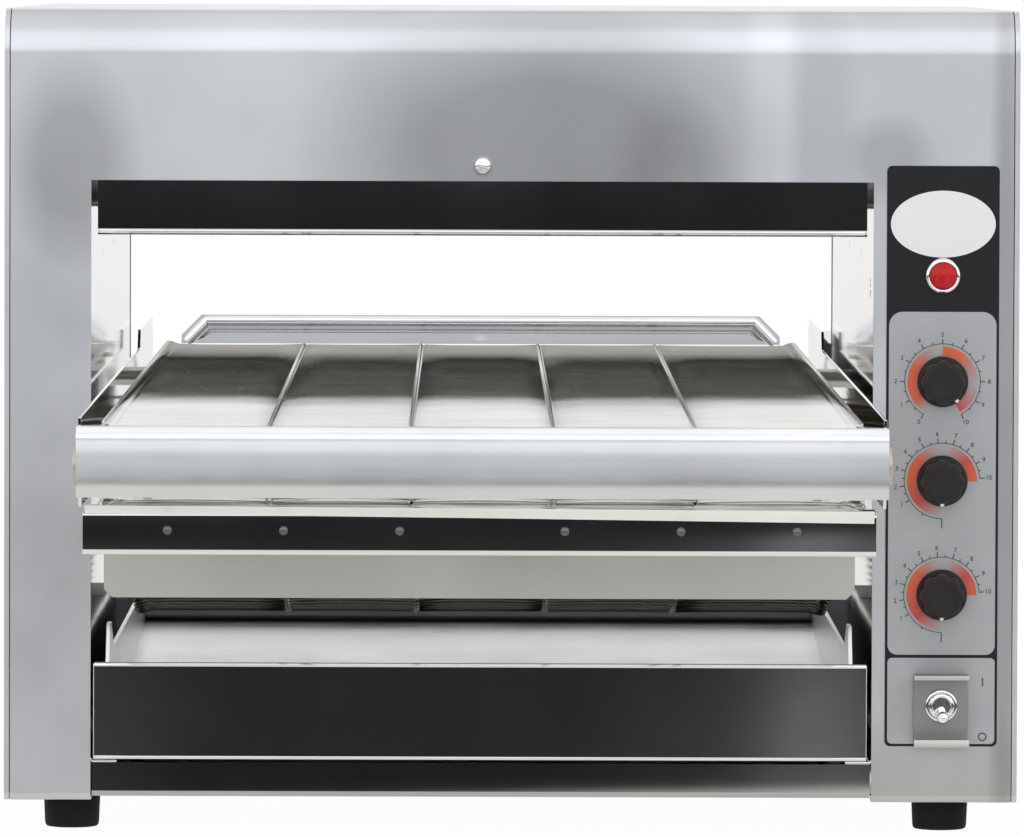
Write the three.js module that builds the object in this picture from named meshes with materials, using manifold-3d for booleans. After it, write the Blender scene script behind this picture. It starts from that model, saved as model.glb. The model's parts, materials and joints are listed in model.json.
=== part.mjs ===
// Countertop conveyor pizza oven: a pass-through stainless cabinet with a wire belt that carries
// the food between upper and lower heating elements. Millimetres, +Z up, front facing -Y.
// The origin is on the counter under the middle of the overall box.
import * as THREE from 'three';
import { mergeVertices } from 'three/addons/utils/BufferGeometryUtils.js';
import Module from 'manifold-3d';

// ---------------------------------------------------------------- driving dimensions
const WIDTH = 480;            // cabinet, side to side
const LENGTH = 1041;          // nose of the belt frame to the stop at the exit end
const TOP_Z = 390;            // top of the cabinet above the counter
const FOOT_H = 15;            // clearance under the cabinet
const NOSE_Y = -LENGTH / 2;
const TAIL_Y = LENGTH / 2;
const FRONT_Y = -244.5;       // front face of the cabinet
const REAR_Y = 318.5;         // rear face of the cabinet
const SHELL_T = 1.5;          // outer sheet
const SIDE_T = 2.4;           // hemmed side panel
const SHEET = 1.2;            // inner sheet work
const GAP = 0.4;              // free gap between neighbouring pieces
const TOP_BEND_R = 20;

const TUNNEL_X0 = -199;       // the opening, left and right
const TUNNEL_X1 = 171;
const TUNNEL_TOP_Z = 309;
const WALL_REAR_Y = 300;      // rear edge of the inner walls
const REAR_SILL_Z = 84;       // the rear face is closed below this
const ROOF_Z = 352;
const WALL_HOLES = [[-90, 271], [60, 272]];       // (y, z) of the small holes in both inner walls
const PROBE_HOLE = { y: -205, z: 258, r: 5 };     // grommet hole of the tunnel thermostat

const BELT_MID_X = -14;
const BELT_W = 341;
const BELT_Z = 204;           // middle of the belt's thickness on the top run
const BELT_T = 2.4;
const ROLLER_R = 17;          // from the shaft to the middle of the belt
const NOSE_SHAFT_Y = NOSE_Y + 20.5;
const DRIVE_SHAFT_Y = 478;
const SHAFT_Z = BELT_Z - ROLLER_R;
const SHAFT_R = 5;
const RAIL_HALF_W = 181;      // outer faces of the belt frame's side rails
const RAIL_T = 1.5;
const RETURN_ROD_Z = 150;     // guide rods that carry the slack return run
const RETURN_ROD_R = 4;
const RETURN_ROD_YS = [-222, 300];
const CROSSBAR = { ys: [-330, 350], z: 193, r: 4 };
const BELLY_Z = 86;           // lowest point of the return run

const BAFFLE = { bottom: 283.6, top: 352, slotLow: 310, slotHigh: 347, screwZ: 316.5 };
const TOP_ELEMENT_YS = [-110, 190];
const BOTTOM_ELEMENT_YS = [-110, 190];
const BOTTOM_ELEMENT_Z = 181;

const PANEL_X = 203.8;        // centre line of the controls
const KNOB_ZS = { speed: 215, top_heat: 168, bottom_heat: 114 };
const LAMP_Z = 265;
const TOGGLE_Z = 61.5;
const LABEL = { width: 53.2, bottom: 42, top: 317, thick: 0.8 };
const FRONT_HOLES = { shaft: 3.9, lamp: 6.3, toggle: 6.3 };

const MOTOR_Y = 255;          // output shaft of the gear motor
const CHAIN_X = 180;
const MOTOR_SPROCKET_R = 12.8;
const SHAFT_SPROCKET_R = 16;
const FAN = { size: 60, thick: 15, z: 75, x: 205 };
const GLAND_Z = 128;
const FOOT_XY = { left: -209, right: 205, front: FRONT_Y + 35, rear: REAR_Y - 35 };

// ---------------------------------------------------------------- finishes
const finish = (color, roughness, metalness) =>
  new THREE.MeshStandardMaterial({ color, roughness, metalness });
const satinSteel = () => finish(0xb4b5b7, 0.36, 1);
const mirrorSteel = () => finish(0xc4c5c7, 0.12, 1);
const plainSteel = () => finish(0xb0ada6, 0.45, 1);
const blackPlastic = () => finish(0x151515, 0.42, 0);
const blackRubber = () => finish(0x111111, 0.85, 0);
const wool = () => finish(0xd9d2c0, 0.95, 0);

// ---------------------------------------------------------------- solid modelling helpers
const wasm = await Module();
wasm.setup();

function toSolid(geometry) {
  const bare = geometry.index ? geometry.toNonIndexed() : geometry.clone();
  bare.deleteAttribute('normal');
  bare.deleteAttribute('uv');
  const merged = mergeVertices(bare, 1e-4);
  return new wasm.Manifold(new wasm.Mesh({
    numProp: 3,
    vertProperties: new Float32Array(merged.attributes.position.array),
    triVerts: new Uint32Array(merged.index.array),
  }));
}

function toGeometry(solid) {
  const mesh = solid.getMesh();
  const geometry = new THREE.BufferGeometry();
  geometry.setAttribute('position', new THREE.BufferAttribute(mesh.vertProperties, 3));
  geometry.setIndex(new THREE.BufferAttribute(mesh.triVerts, 1));
  geometry.computeVertexNormals();
  return geometry;
}

function cut(geometry, ...tools) {
  return toGeometry(tools.reduce((solid, tool) => solid.subtract(toSolid(tool)), toSolid(geometry)));
}

function join(geometry, ...others) {
  return toGeometry(others.reduce((solid, other) => solid.add(toSolid(other)), toSolid(geometry)));
}

// A box given by its lowest and highest corners.
function block(x0, x1, y0, y1, z0, z1) {
  const geometry = new THREE.BoxGeometry(x1 - x0, y1 - y0, z1 - z0);
  return geometry.translate((x0 + x1) / 2, (y0 + y1) / 2, (z0 + z1) / 2);
}

const AXIS = {
  x: [new THREE.Vector3(0, 1, 0), new THREE.Vector3(0, 0, 1), new THREE.Vector3(1, 0, 0)],
  y: [new THREE.Vector3(1, 0, 0), new THREE.Vector3(0, 0, 1), new THREE.Vector3(0, -1, 0)],
  z: [new THREE.Vector3(1, 0, 0), new THREE.Vector3(0, 1, 0), new THREE.Vector3(0, 0, 1)],
};

// Extrudes a flat shape along an axis, from one coordinate to the other. The shape's own x and y
// become (y, z) for axis x, (x, z) for axis y and (x, y) for axis z.
function prism(shape, axis, from, to, curveSegments = 3) {
  const options = { depth: to - from, bevelEnabled: false, curveSegments };
  const geometry = new THREE.ExtrudeGeometry(shape, options);
  geometry.applyMatrix4(new THREE.Matrix4().makeBasis(...AXIS[axis]));
  const start = new THREE.Vector3();
  start[axis] = axis === 'y' ? to : from;
  return geometry.translate(start.x, start.y, start.z);
}

// A solid of revolution about an axis through (x, y, z): profile points are [radius, along].
function turned(profile, axis, centre, segments = 24) {
  const points = profile.map(([r, t]) => new THREE.Vector2(r, t));
  const geometry = new THREE.LatheGeometry(points, segments);
  if (axis === 'x') geometry.rotateZ(-Math.PI / 2);
  if (axis === 'z') geometry.rotateX(Math.PI / 2);
  return geometry.translate(...centre);
}

function rod(radius, axis, from, to, centre, segments = 16) {
  const profile = [[0, from], [radius, from], [radius, to], [0, to]];
  return turned(profile, axis, centre, segments);
}

function roundedRect(x0, x1, y0, y1, r) {
  const shape = new THREE.Shape();
  shape.moveTo(x0 + r, y0);
  shape.lineTo(x1 - r, y0);
  shape.absarc(x1 - r, y0 + r, r, -Math.PI / 2, 0, false);
  shape.lineTo(x1, y1 - r);
  shape.absarc(x1 - r, y1 - r, r, 0, Math.PI / 2, false);
  shape.lineTo(x0 + r, y1);
  shape.absarc(x0 + r, y1 - r, r, Math.PI / 2, Math.PI, false);
  shape.lineTo(x0, y0 + r);
  shape.absarc(x0 + r, y0 + r, r, Math.PI, 1.5 * Math.PI, false);
  return shape;
}

function polygon(points) {
  return new THREE.Shape(points.map(([x, y]) => new THREE.Vector2(x, y)));
}

// A line through the points [u, v, bend radius] with each inner corner turned on an arc.
function bentLine(points, steps = 4) {
  const line = [];
  points.forEach(([u, v, radius = 0], i) => {
    const here = new THREE.Vector2(u, v);
    if (!radius || i === 0 || i === points.length - 1) {
      line.push(here);
      return;
    }
    const back = new THREE.Vector2(...points[i - 1].slice(0, 2)).sub(here).normalize();
    const ahead = new THREE.Vector2(...points[i + 1].slice(0, 2)).sub(here).normalize();
    const half = Math.acos(THREE.MathUtils.clamp(back.dot(ahead), -1, 1)) / 2;
    const centre = back.clone().add(ahead).normalize().multiplyScalar(radius / Math.sin(half)).add(here);
    const start = here.clone().addScaledVector(back, radius / Math.tan(half)).sub(centre);
    const end = here.clone().addScaledVector(ahead, radius / Math.tan(half)).sub(centre);
    const turn = Math.atan2(start.cross(end), start.dot(end));
    for (let k = 0; k <= steps; k += 1) {
      line.push(start.clone().rotateAround(new THREE.Vector2(), (turn * k) / steps).add(centre));
    }
  });
  return line;
}

// The points of a line moved sideways (to its left for a positive distance).
function offsetLine(line, distance, closed = false) {
  const n = line.length;
  return line.map((here, i) => {
    const before = closed ? line[(i + n - 1) % n] : line[Math.max(i - 1, 0)];
    const after = closed ? line[(i + 1) % n] : line[Math.min(i + 1, n - 1)];
    const a = here.clone().sub(before).normalize();
    const b = after.clone().sub(here).normalize();
    const along = a.add(b).normalize();
    const normal = new THREE.Vector2(-along.y, along.x);
    const straight = b.lengthSq() > 0 ? Math.abs(along.dot(b)) : 1;
    return here.clone().addScaledVector(normal, distance / Math.max(straight, 0.5));
  });
}

// A sheet of even thickness bent along a line, as the flat section that is then extruded.
function sheet(points, thickness, steps = 4) {
  const line = bentLine(points, steps);
  const outer = offsetLine(line, thickness / 2);
  const inner = offsetLine(line, -thickness / 2).reverse();
  return new THREE.Shape([...outer, ...inner]);
}

// A closed band of even thickness along a closed line.
function band(line, thickness) {
  const shape = new THREE.Shape(offsetLine(line, -thickness / 2, true));
  shape.holes.push(new THREE.Path(offsetLine(line, thickness / 2, true)));
  return shape;
}

function arcPoints(cy, cz, radius, fromDeg, toDeg, steps) {
  return Array.from({ length: steps + 1 }, (_, k) => {
    const angle = THREE.MathUtils.degToRad(fromDeg + ((toDeg - fromDeg) * k) / steps);
    return new THREE.Vector2(cy + radius * Math.cos(angle), cz + radius * Math.sin(angle));
  });
}

const oven = new THREE.Group();

function add(name, geometry, material) {
  const mesh = new THREE.Mesh(geometry, material);
  mesh.name = name;
  oven.add(mesh);
}

// ---------------------------------------------------------------- cabinet
function slotsOnSide(x0, x1, ys, zs, length, height) {
  const slots = [];
  for (const y of ys) {
    for (const z of zs) {
      const [dy, dz] = [length / 2, height / 2];
      const outline = roundedRect(y - dy, y + dy, z - dz, z + dz, dz * 0.98);
      slots.push(prism(outline, 'x', x0, x1, 1));
    }
  }
  return slots;
}

function bodyWrap() {
  const half = WIDTH / 2 - SIDE_T - GAP;
  const mid = SHELL_T / 2;
  const outline = sheet([
    [FRONT_Y + 16, FOOT_H + mid],
    [FRONT_Y + mid, FOOT_H + mid, 3],
    [FRONT_Y + mid, TOP_Z - mid, TOP_BEND_R],
    [REAR_Y - mid, TOP_Z - mid, TOP_BEND_R],
    [REAR_Y - mid, FOOT_H + mid, 3],
    [REAR_Y - 16, FOOT_H + mid],
  ], SHELL_T, 6);
  const tools = [
    block(TUNNEL_X0, TUNNEL_X1, FRONT_Y - 1, FRONT_Y + 30, 0, TUNNEL_TOP_Z),
    block(TUNNEL_X0, TUNNEL_X1, REAR_Y - 12, REAR_Y + 1, REAR_SILL_Z, TUNNEL_TOP_Z),
    ...controlHoles(FRONT_Y),
    rod(2.5, 'y', FRONT_Y - 2, FRONT_Y + 4, [BELT_MID_X, 0, BAFFLE.screwZ], 12),
    block(CHAIN_X - 5, CHAIN_X + 5, REAR_Y - 4, REAR_Y + 1, SHAFT_Z - 24, SHAFT_Z + 24),
    rod(8.4, 'y', REAR_Y - 4, REAR_Y + 2, [FAN.x, 0, GLAND_Z], 20),
  ];
  for (let row = -2; row <= 2; row += 1) {
    const z = FAN.z + row * 10;
    const reach = 24 - Math.abs(row) * 3;
    const slot = roundedRect(FAN.x - reach, FAN.x + reach, z - 2.5, z + 2.5, 2.4);
    tools.push(prism(slot, 'y', REAR_Y - 4, REAR_Y + 1, 1));
  }
  add('body_wrap', cut(prism(outline, 'x', -half, half), ...tools), satinSteel());
}

function sideOutline() {
  const shape = new THREE.Shape();
  const low = 4;
  shape.moveTo(FRONT_Y + low, FOOT_H);
  shape.lineTo(REAR_Y - low, FOOT_H);
  shape.absarc(REAR_Y - low, FOOT_H + low, low, -Math.PI / 2, 0, false);
  shape.absarc(REAR_Y - TOP_BEND_R, TOP_Z - TOP_BEND_R, TOP_BEND_R, 0, Math.PI / 2, false);
  shape.absarc(FRONT_Y + TOP_BEND_R, TOP_Z - TOP_BEND_R, TOP_BEND_R, Math.PI / 2, Math.PI, false);
  shape.absarc(FRONT_Y + low, FOOT_H + low, low, Math.PI, 1.5 * Math.PI, false);
  return shape;
}

function sidePanels() {
  const rim = 14;
  for (const side of [-1, 1]) {
    const inner = side * (WIDTH / 2 - SIDE_T);
    const outer = side * (WIDTH / 2);
    const [x0, x1] = [Math.min(inner, outer), Math.max(inner, outer)];
    const recess = side < 0 ? [x0 + 1.2, x1 + 1] : [x0 - 1, x1 - 1.2];
    const pocket = block(...recess, FRONT_Y + rim, REAR_Y - rim, FOOT_H + rim, TOP_Z - rim - 6);
    const ys = side < 0 ? [37] : [-40, 30, 100];
    const zs = side < 0 ? [318, 332] : [48, 62, 76, 90];
    const vents = slotsOnSide(x0 - 2, x1 + 2, ys, zs, 52, 5);
    add(side < 0 ? 'side_panel_left' : 'side_panel_right',
      cut(prism(sideOutline(), 'x', x0, x1, 3), pocket, ...vents), satinSteel());
  }
}

function basePan() {
  const z = FOOT_H + SHELL_T + GAP + SHEET / 2;
  const lipTop = 33;
  const lipped = sheet([
    [FRONT_Y + 1.4, lipTop], [FRONT_Y + 1.4, z, 2.2], [REAR_Y - 2.8, z, 2.2], [REAR_Y - 2.8, lipTop],
  ], SHEET);
  const half = WIDTH / 2 - SIDE_T - GAP;
  const floor = block(-half, half, FRONT_Y + 17, REAR_Y - 17, z - SHEET / 2, z + SHEET / 2);
  add('base_pan', join(prism(lipped, 'x', TUNNEL_X0 + 0.6, TUNNEL_X1 - 0.6), floor), mirrorSteel());
}

function feet() {
  const top = FOOT_H + SHELL_T + GAP - 0.3;
  const profile = [[0, 0], [12.4, 0], [13, 0.8], [13.5, top - 0.6], [13, top], [0, top]];
  for (const end of ['front', 'rear']) {
    for (const hand of ['left', 'right']) {
      const place = [FOOT_XY[hand], FOOT_XY[end], 0];
      add(`foot_${end}_${hand}`, turned(profile, 'z', place, 20), blackRubber());
    }
  }
}

// ---------------------------------------------------------------- baking tunnel
function innerWalls() {
  const flange = 13;
  for (const side of [-1, 1]) {
    const edge = side < 0 ? TUNNEL_X0 - SHEET / 2 : TUNNEL_X1 + SHEET / 2;
    const section = sheet([[edge, ROOF_Z - 12], [edge, 33.6, 2], [edge - side * flange, 33.6]], SHEET, 3);
    const through = [edge - 3, edge + 3];
    const tools = WALL_HOLES.map(([y, z]) => rod(2, 'x', ...through, [0, y, z], 8));
    if (side > 0) tools.push(rod(PROBE_HOLE.r, 'x', ...through, [0, PROBE_HOLE.y, PROBE_HOLE.z], 14));
    add(side < 0 ? 'inner_wall_left' : 'inner_wall_right',
      cut(prism(section, 'y', FRONT_Y + SHELL_T + GAP, WALL_REAR_Y), ...tools), mirrorSteel());
  }
}

function topHeater() {
  const x0 = TUNNEL_X0 + 1;
  const x1 = TUNNEL_X1 - 1;
  const frontY = FRONT_Y + 9;
  const rearY = REAR_Y - 9;
  const section = sheet([
    [frontY, 322], [frontY, ROOF_Z, 4], [rearY, ROOF_Z, 4], [rearY, 322],
  ], SHEET, 3);
  add('top_reflector', prism(section, 'x', x0, x1), mirrorSteel());
  const slab = block(-WIDTH / 2 + 6, WIDTH / 2 - 6, frontY + 6, rearY - 6, ROOF_Z + 2, TOP_Z - SHELL_T - 1);
  add('top_insulation', slab, wool());
  heatingElements('top_element', 330, TOP_ELEMENT_YS);
}

// A hairpin rod element laid flat: two legs side by side along X joined by a round bend.
function heatingElements(name, z, ys) {
  const r = 3.5;
  const legX0 = TUNNEL_X0 + 48;
  const legX1 = TUNNEL_X1 - 2;
  const spread = 34;
  const section = new THREE.Shape();
  section.absarc(0, 0, r, 0, Math.PI * 2, false);
  ys.forEach((y, i) => {
    const path = new THREE.CurvePath();
    const a = new THREE.Vector3(legX1, y - spread, z);
    const b = new THREE.Vector3(legX0, y - spread, z);
    const c = new THREE.Vector3(legX0, y + spread, z);
    const d = new THREE.Vector3(legX1, y + spread, z);
    path.add(new THREE.LineCurve3(a, b));
    const bulge = spread * 0.75;
    path.add(new THREE.CubicBezierCurve3(b, b.clone().setX(legX0 - bulge), c.clone().setX(legX0 - bulge), c));
    path.add(new THREE.LineCurve3(c, d));
    const options = { steps: 22, curveSegments: 4, bevelEnabled: false, extrudePath: path };
    add(`${name}_${i + 1}`, new THREE.ExtrudeGeometry(section, options), plainSteel());
  });
}

function baffles() {
  const { bottom, top, slotLow, slotHigh } = BAFFLE;
  const clear = SHELL_T + 1.3;
  for (const [end, y, back] of [['front', FRONT_Y + clear, 1], ['rear', REAR_Y - clear, -1]]) {
    const section = sheet([[y, top], [y, bottom, 2.6], [y + back * 5, bottom]], 1, 4);
    const slot = roundedRect(BELT_MID_X - 2.5, BELT_MID_X + 2.5, slotLow, slotHigh, 2.4);
    const tool = prism(slot, 'y', y - 3, y + 3, 2);
    add(`${end}_baffle`, cut(prism(section, 'x', TUNNEL_X0 + 3, TUNNEL_X1 - 3), tool), mirrorSteel());
  }
  const screw = [
    [0, -7.2], [2, -7], [3.6, -5.9], [4.35, -4], [4.35, -0.4], [1.9, -0.4], [1.9, 5.6], [0, 5.6],
  ];
  add('baffle_screw', turned(screw, 'y', [BELT_MID_X, FRONT_Y, BAFFLE.screwZ], 16), mirrorSteel());
}

function lowerHeater() {
  const x0 = BELT_MID_X - 166;
  const x1 = BELT_MID_X + 166;
  const section = sheet([
    [-205, 190], [-205, 170, 3], [285, 170, 3], [285, 190],
  ], SHEET, 3);
  add('lower_reflector', prism(section, 'x', x0, x1), mirrorSteel());
  heatingElements('bottom_element', BOTTOM_ELEMENT_Z, BOTTOM_ELEMENT_YS);
}

function lowerGuard() {
  const chamfer = 4;
  const [x0, x1] = [BELT_MID_X - 179, BELT_MID_X + 177];
  const [low, high] = [111, 144];
  const y = FRONT_Y + 6;
  const outline = polygon([
    [x0 + chamfer, low], [x1 - chamfer, low], [x1, low + chamfer],
    [x1, high], [x0, high], [x0, low + chamfer],
  ]);
  add('lower_guard', prism(outline, 'y', y, y + SHEET), plainSteel());
}

// ---------------------------------------------------------------- belt frame
function railOutline() {
  const low = 168;
  return polygon([
    [NOSE_SHAFT_Y - 8, low + 8], [NOSE_SHAFT_Y, low], [-252, low], [-240, 146], [306, 146], [318, low],
    [TAIL_Y - 14, low], [TAIL_Y - 6, low + 8], [TAIL_Y - 6, 211], [TAIL_Y - 13, 218.4], [312, 218.4],
    [302, 208.5], [NOSE_SHAFT_Y - 8, 208.5],
  ]);
}

function sideRails() {
  for (const side of [-1, 1]) {
    const outer = BELT_MID_X + side * RAIL_HALF_W;
    const inner = outer - side * RAIL_T;
    const [x0, x1] = [Math.min(inner, outer), Math.max(inner, outer)];
    const tools = [
      rod(7.3, 'x', x0 - 2, x1 + 2, [0, NOSE_SHAFT_Y, SHAFT_Z], 16),
      rod(7.3, 'x', x0 - 2, x1 + 2, [0, DRIVE_SHAFT_Y, SHAFT_Z], 16),
    ];
    for (const y of BOTTOM_ELEMENT_YS) {
      tools.push(block(x0 - 2, x1 + 2, y - 42, y + 42, BOTTOM_ELEMENT_Z - 6, BOTTOM_ELEMENT_Z + 6));
    }
    for (const y of RETURN_ROD_YS) {
      tools.push(rod(RETURN_ROD_R + 0.3, 'x', x0 - 2, x1 + 2, [0, y, RETURN_ROD_Z + 2], 12));
    }
    for (const y of CROSSBAR.ys) {
      tools.push(rod(CROSSBAR.r + 0.3, 'x', x0 - 2, x1 + 2, [0, y, CROSSBAR.z], 12));
    }
    add(side < 0 ? 'side_rail_left' : 'side_rail_right',
      cut(prism(railOutline(), 'x', x0, x1), ...tools), mirrorSteel());
  }
}

function crossRods() {
  const half = RAIL_HALF_W + 1;
  const across = (name, y, z, r) => {
    add(name, rod(r, 'x', BELT_MID_X - half, BELT_MID_X + half, [0, y, z], 12), plainSteel());
  };
  across('return_rod_front', RETURN_ROD_YS[0], RETURN_ROD_Z + 2, RETURN_ROD_R);
  across('return_rod_rear', RETURN_ROD_YS[1], RETURN_ROD_Z + 2, RETURN_ROD_R);
  across('crossbar_front', CROSSBAR.ys[0], CROSSBAR.z, CROSSBAR.r);
  across('crossbar_rear', CROSSBAR.ys[1], CROSSBAR.z, CROSSBAR.r);
  [-85, 85].forEach((dx, i) => {
    const place = [BELT_MID_X + dx, 0, 199.8];
    add(`belt_rod_${i + 1}`, rod(2.4, 'y', NOSE_SHAFT_Y + 20, DRIVE_SHAFT_Y - 20, place, 10), plainSteel());
  });
}

// A shaft with belt sprockets turned on it, from one end to the other along X.
function beltShaft(from, to) {
  const discR = ROLLER_R - BELT_T / 2 - 0.5;
  const profile = [[0, from], [SHAFT_R, from]];
  for (let k = 0; k < 6; k += 1) {
    const x = BELT_MID_X + (k - 2.5) * 60;
    profile.push([SHAFT_R, x - 4], [discR, x - 2], [discR, x + 2], [SHAFT_R, x + 4]);
  }
  profile.push([SHAFT_R, to], [0, to]);
  return profile;
}

function shaftsAndBearings() {
  const railOut = BELT_MID_X + RAIL_HALF_W;
  const railIn = BELT_MID_X - RAIL_HALF_W;
  const idler = beltShaft(railIn - 2.6, railOut + 2.6);
  const drive = beltShaft(railIn - 2.6, CHAIN_X + 5);
  add('idler_shaft', turned(idler, 'x', [0, NOSE_SHAFT_Y, SHAFT_Z], 12), plainSteel());
  add('drive_shaft', turned(drive, 'x', [0, DRIVE_SHAFT_Y, SHAFT_Z], 12), plainSteel());
  const bore = SHAFT_R + 0.3;
  const bush = [[bore, -1.8], [7, -1.8], [7, 0.3], [9, 0.3], [9, 2.2], [bore, 2.2], [bore, -1.8]];
  for (const [end, y] of [['front', NOSE_SHAFT_Y], ['rear', DRIVE_SHAFT_Y]]) {
    for (const side of [-1, 1]) {
      const x = side < 0 ? railIn : railOut;
      const geometry = turned(bush, 'x', [0, 0, 0], 12);
      if (side < 0) geometry.rotateZ(Math.PI);
      geometry.translate(x, y, SHAFT_Z);
      add(`bearing_${end}_${side < 0 ? 'left' : 'right'}`, geometry, finish(0xb08d4c, 0.4, 1));
    }
  }
}

// The belt's closed line in (y, z): flat top run, half turns on both shafts, and a return run
// that is carried by two rods and hangs slack between them.
function beltLine() {
  const contact = RETURN_ROD_Z + 2 + RETURN_ROD_R + BELT_T / 2 + GAP;
  const [rodA, rodB] = RETURN_ROD_YS;
  const middle = (rodA + rodB) / 2;
  const half = (rodB - rodA) / 2 - 5;
  const belly = [];
  const steps = 5;
  for (let k = 0; k <= steps; k += 1) {
    const u = -1 + (2 * k) / steps;
    const z = BELLY_Z + (contact - 1 - BELLY_Z) * u * u;
    belly.push(new THREE.Vector2(middle + u * half, z));
  }
  return [
    ...arcPoints(NOSE_SHAFT_Y, SHAFT_Z, ROLLER_R, 90, 267, 12),
    new THREE.Vector2(rodA - 3, contact + 0.1),
    ...belly,
    new THREE.Vector2(rodB + 3, contact + 0.1),
    ...arcPoints(DRIVE_SHAFT_Y, SHAFT_Z, ROLLER_R, -87, 90, 12),
  ];
}

function conveyorBelt() {
  const half = BELT_W / 2;
  const shape = band(beltLine(), BELT_T);
  add('conveyor_belt', prism(shape, 'x', BELT_MID_X - half, BELT_MID_X + half), mirrorSteel());
}

function noseCover() {
  const face = NOSE_Y + 0.5;
  const section = sheet([
    [NOSE_Y + 10, BELT_Z + 0.4], [face, BELT_Z + 0.4, 7], [face, 180, 12], [face + 2.4, 173],
  ], 1, 6);
  const half = RAIL_HALF_W + 0.5;
  add('nose_cover', prism(section, 'x', BELT_MID_X - half, BELT_MID_X + half), satinSteel());
}

function underGuard() {
  const face = NOSE_Y + 16;
  const section = sheet([
    [face + 26, 166.2], [face, 166.2, 1.8], [face, 147.5, 1.8], [face + 14, 147.5],
  ], SHEET, 4);
  add('under_guard', prism(section, 'x', BELT_MID_X - 179, BELT_MID_X + 176.5), mirrorSteel());
}

function exitTray() {
  const half = 164;
  const z = 199.6;
  const startY = DRIVE_SHAFT_Y + 20.5;
  const section = sheet([
    [startY, z - 16], [startY, z, 3], [TAIL_Y - 5.5, z + 2, 3], [TAIL_Y - 0.6, 219],
  ], SHEET, 3);
  const blank = prism(section, 'x', BELT_MID_X - half, BELT_MID_X + half);
  const corner = side => polygon([
    [BELT_MID_X + side * (half - 12), 220], [BELT_MID_X + side * (half + 1), 207],
    [BELT_MID_X + side * (half + 1), 220],
  ]);
  const left = polygon([...corner(-1).getPoints().map(p => [p.x, p.y])].reverse());
  const tools = [prism(corner(1), 'y', TAIL_Y - 9, TAIL_Y + 2), prism(left, 'y', TAIL_Y - 9, TAIL_Y + 2)];
  add('exit_tray', cut(blank, ...tools), mirrorSteel());
}

// ---------------------------------------------------------------- drive
function sprocket(teeth, pitchR, centreY, boreR) {
  const shape = new THREE.Shape();
  const root = pitchR - 2.6;
  const tip = pitchR - 1.5;
  for (let k = 0; k < teeth; k += 1) {
    const a = (2 * Math.PI * k) / teeth;
    const step = (2 * Math.PI) / teeth;
    for (const [f, r] of [[-0.2, tip], [0.2, tip], [0.35, root], [0.65, root]]) {
      const p = [centreY + r * Math.cos(a + f * step), SHAFT_Z + r * Math.sin(a + f * step)];
      if (k === 0 && f === -0.2) shape.moveTo(...p);
      else shape.lineTo(...p);
    }
  }
  const bore = new THREE.Path();
  bore.absarc(centreY, SHAFT_Z, boreR, 0, 2 * Math.PI, true);
  shape.holes.push(bore);
  return prism(shape, 'x', CHAIN_X - 1.5, CHAIN_X + 1.5, 5);
}

function driveTrain() {
  add('shaft_sprocket', sprocket(15, SHAFT_SPROCKET_R, DRIVE_SHAFT_Y, SHAFT_R + 0.3), plainSteel());
  add('motor_sprocket', sprocket(12, MOTOR_SPROCKET_R, MOTOR_Y, 4.3), plainSteel());
  const taper = (SHAFT_SPROCKET_R - MOTOR_SPROCKET_R) / (DRIVE_SHAFT_Y - MOTOR_Y);
  const lean = THREE.MathUtils.radToDeg(Math.asin(taper));
  const line = [
    ...arcPoints(MOTOR_Y, SHAFT_Z, MOTOR_SPROCKET_R, 90 + lean, 270 - lean, 8),
    ...arcPoints(DRIVE_SHAFT_Y, SHAFT_Z, SHAFT_SPROCKET_R, -90 - lean, 90 + lean, 10),
  ];
  add('drive_chain', prism(band(line, 2.2), 'x', CHAIN_X - 2.4, CHAIN_X + 2.4), plainSteel());

  const box0 = CHAIN_X + 7.5;
  const plate = roundedRect(MOTOR_Y - 34, MOTOR_Y + 26, SHAFT_Z - 26, SHAFT_Z + 26, 5);
  const gearbox = prism(plate, 'x', box0, box0 + 20, 2);
  const can = rod(27, 'x', box0 + 19, WIDTH / 2 - 6, [0, MOTOR_Y - 5, SHAFT_Z], 24);
  const shaft = rod(4, 'x', CHAIN_X - 3, box0 + 1, [0, MOTOR_Y, SHAFT_Z], 16);
  add('gear_motor', join(gearbox, can, shaft), finish(0x3b3d40, 0.5, 0.6));

  const x0 = BELT_MID_X + RAIL_HALF_W + 3;
  const x1 = CHAIN_X + 11;
  const outer = block(x0, x1, REAR_Y + GAP, DRIVE_SHAFT_Y + 24, SHAFT_Z - 25, SHAFT_Z + 25);
  const inner = block(x0 - 1, x1 - 1.2, REAR_Y - 1, DRIVE_SHAFT_Y + 22.8, SHAFT_Z - 23.8, SHAFT_Z + 23.8);
  add('chain_guard', cut(outer, inner), satinSteel());
}

// ---------------------------------------------------------------- crumb tray
function crumbTray() {
  const t = 1;
  const x0 = TUNNEL_X0 + 1.2;
  const x1 = TUNNEL_X1 - 2.2;
  const faceY = FRONT_Y + 0.3;
  const rearY = WALL_REAR_Y - 6;
  const bottom = 34.8;
  const front = block(x0, x1, faceY, faceY + 2, bottom, 80);
  const floor = sheet([[faceY + 1, bottom + 1.2], [rearY - t / 2, 66, 3], [rearY - t / 2, 78]], t, 3);
  const wallX0 = BELT_MID_X - 177;
  const wallX1 = BELT_MID_X + 175;
  const pan = prism(floor, 'x', wallX0, wallX1);
  const side = polygon([
    [faceY + 1, bottom], [rearY, bottom], [rearY, 84], [faceY + 60, 84],
    [faceY + 30, 98], [faceY + 14, 98], [faceY + 1, 80],
  ]);
  const walls = [wallX0 - t, wallX1 - t].map(x => prism(side, 'x', x, x + 2 * t));
  add('crumb_tray', join(front, pan, ...walls), mirrorSteel());
}

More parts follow.
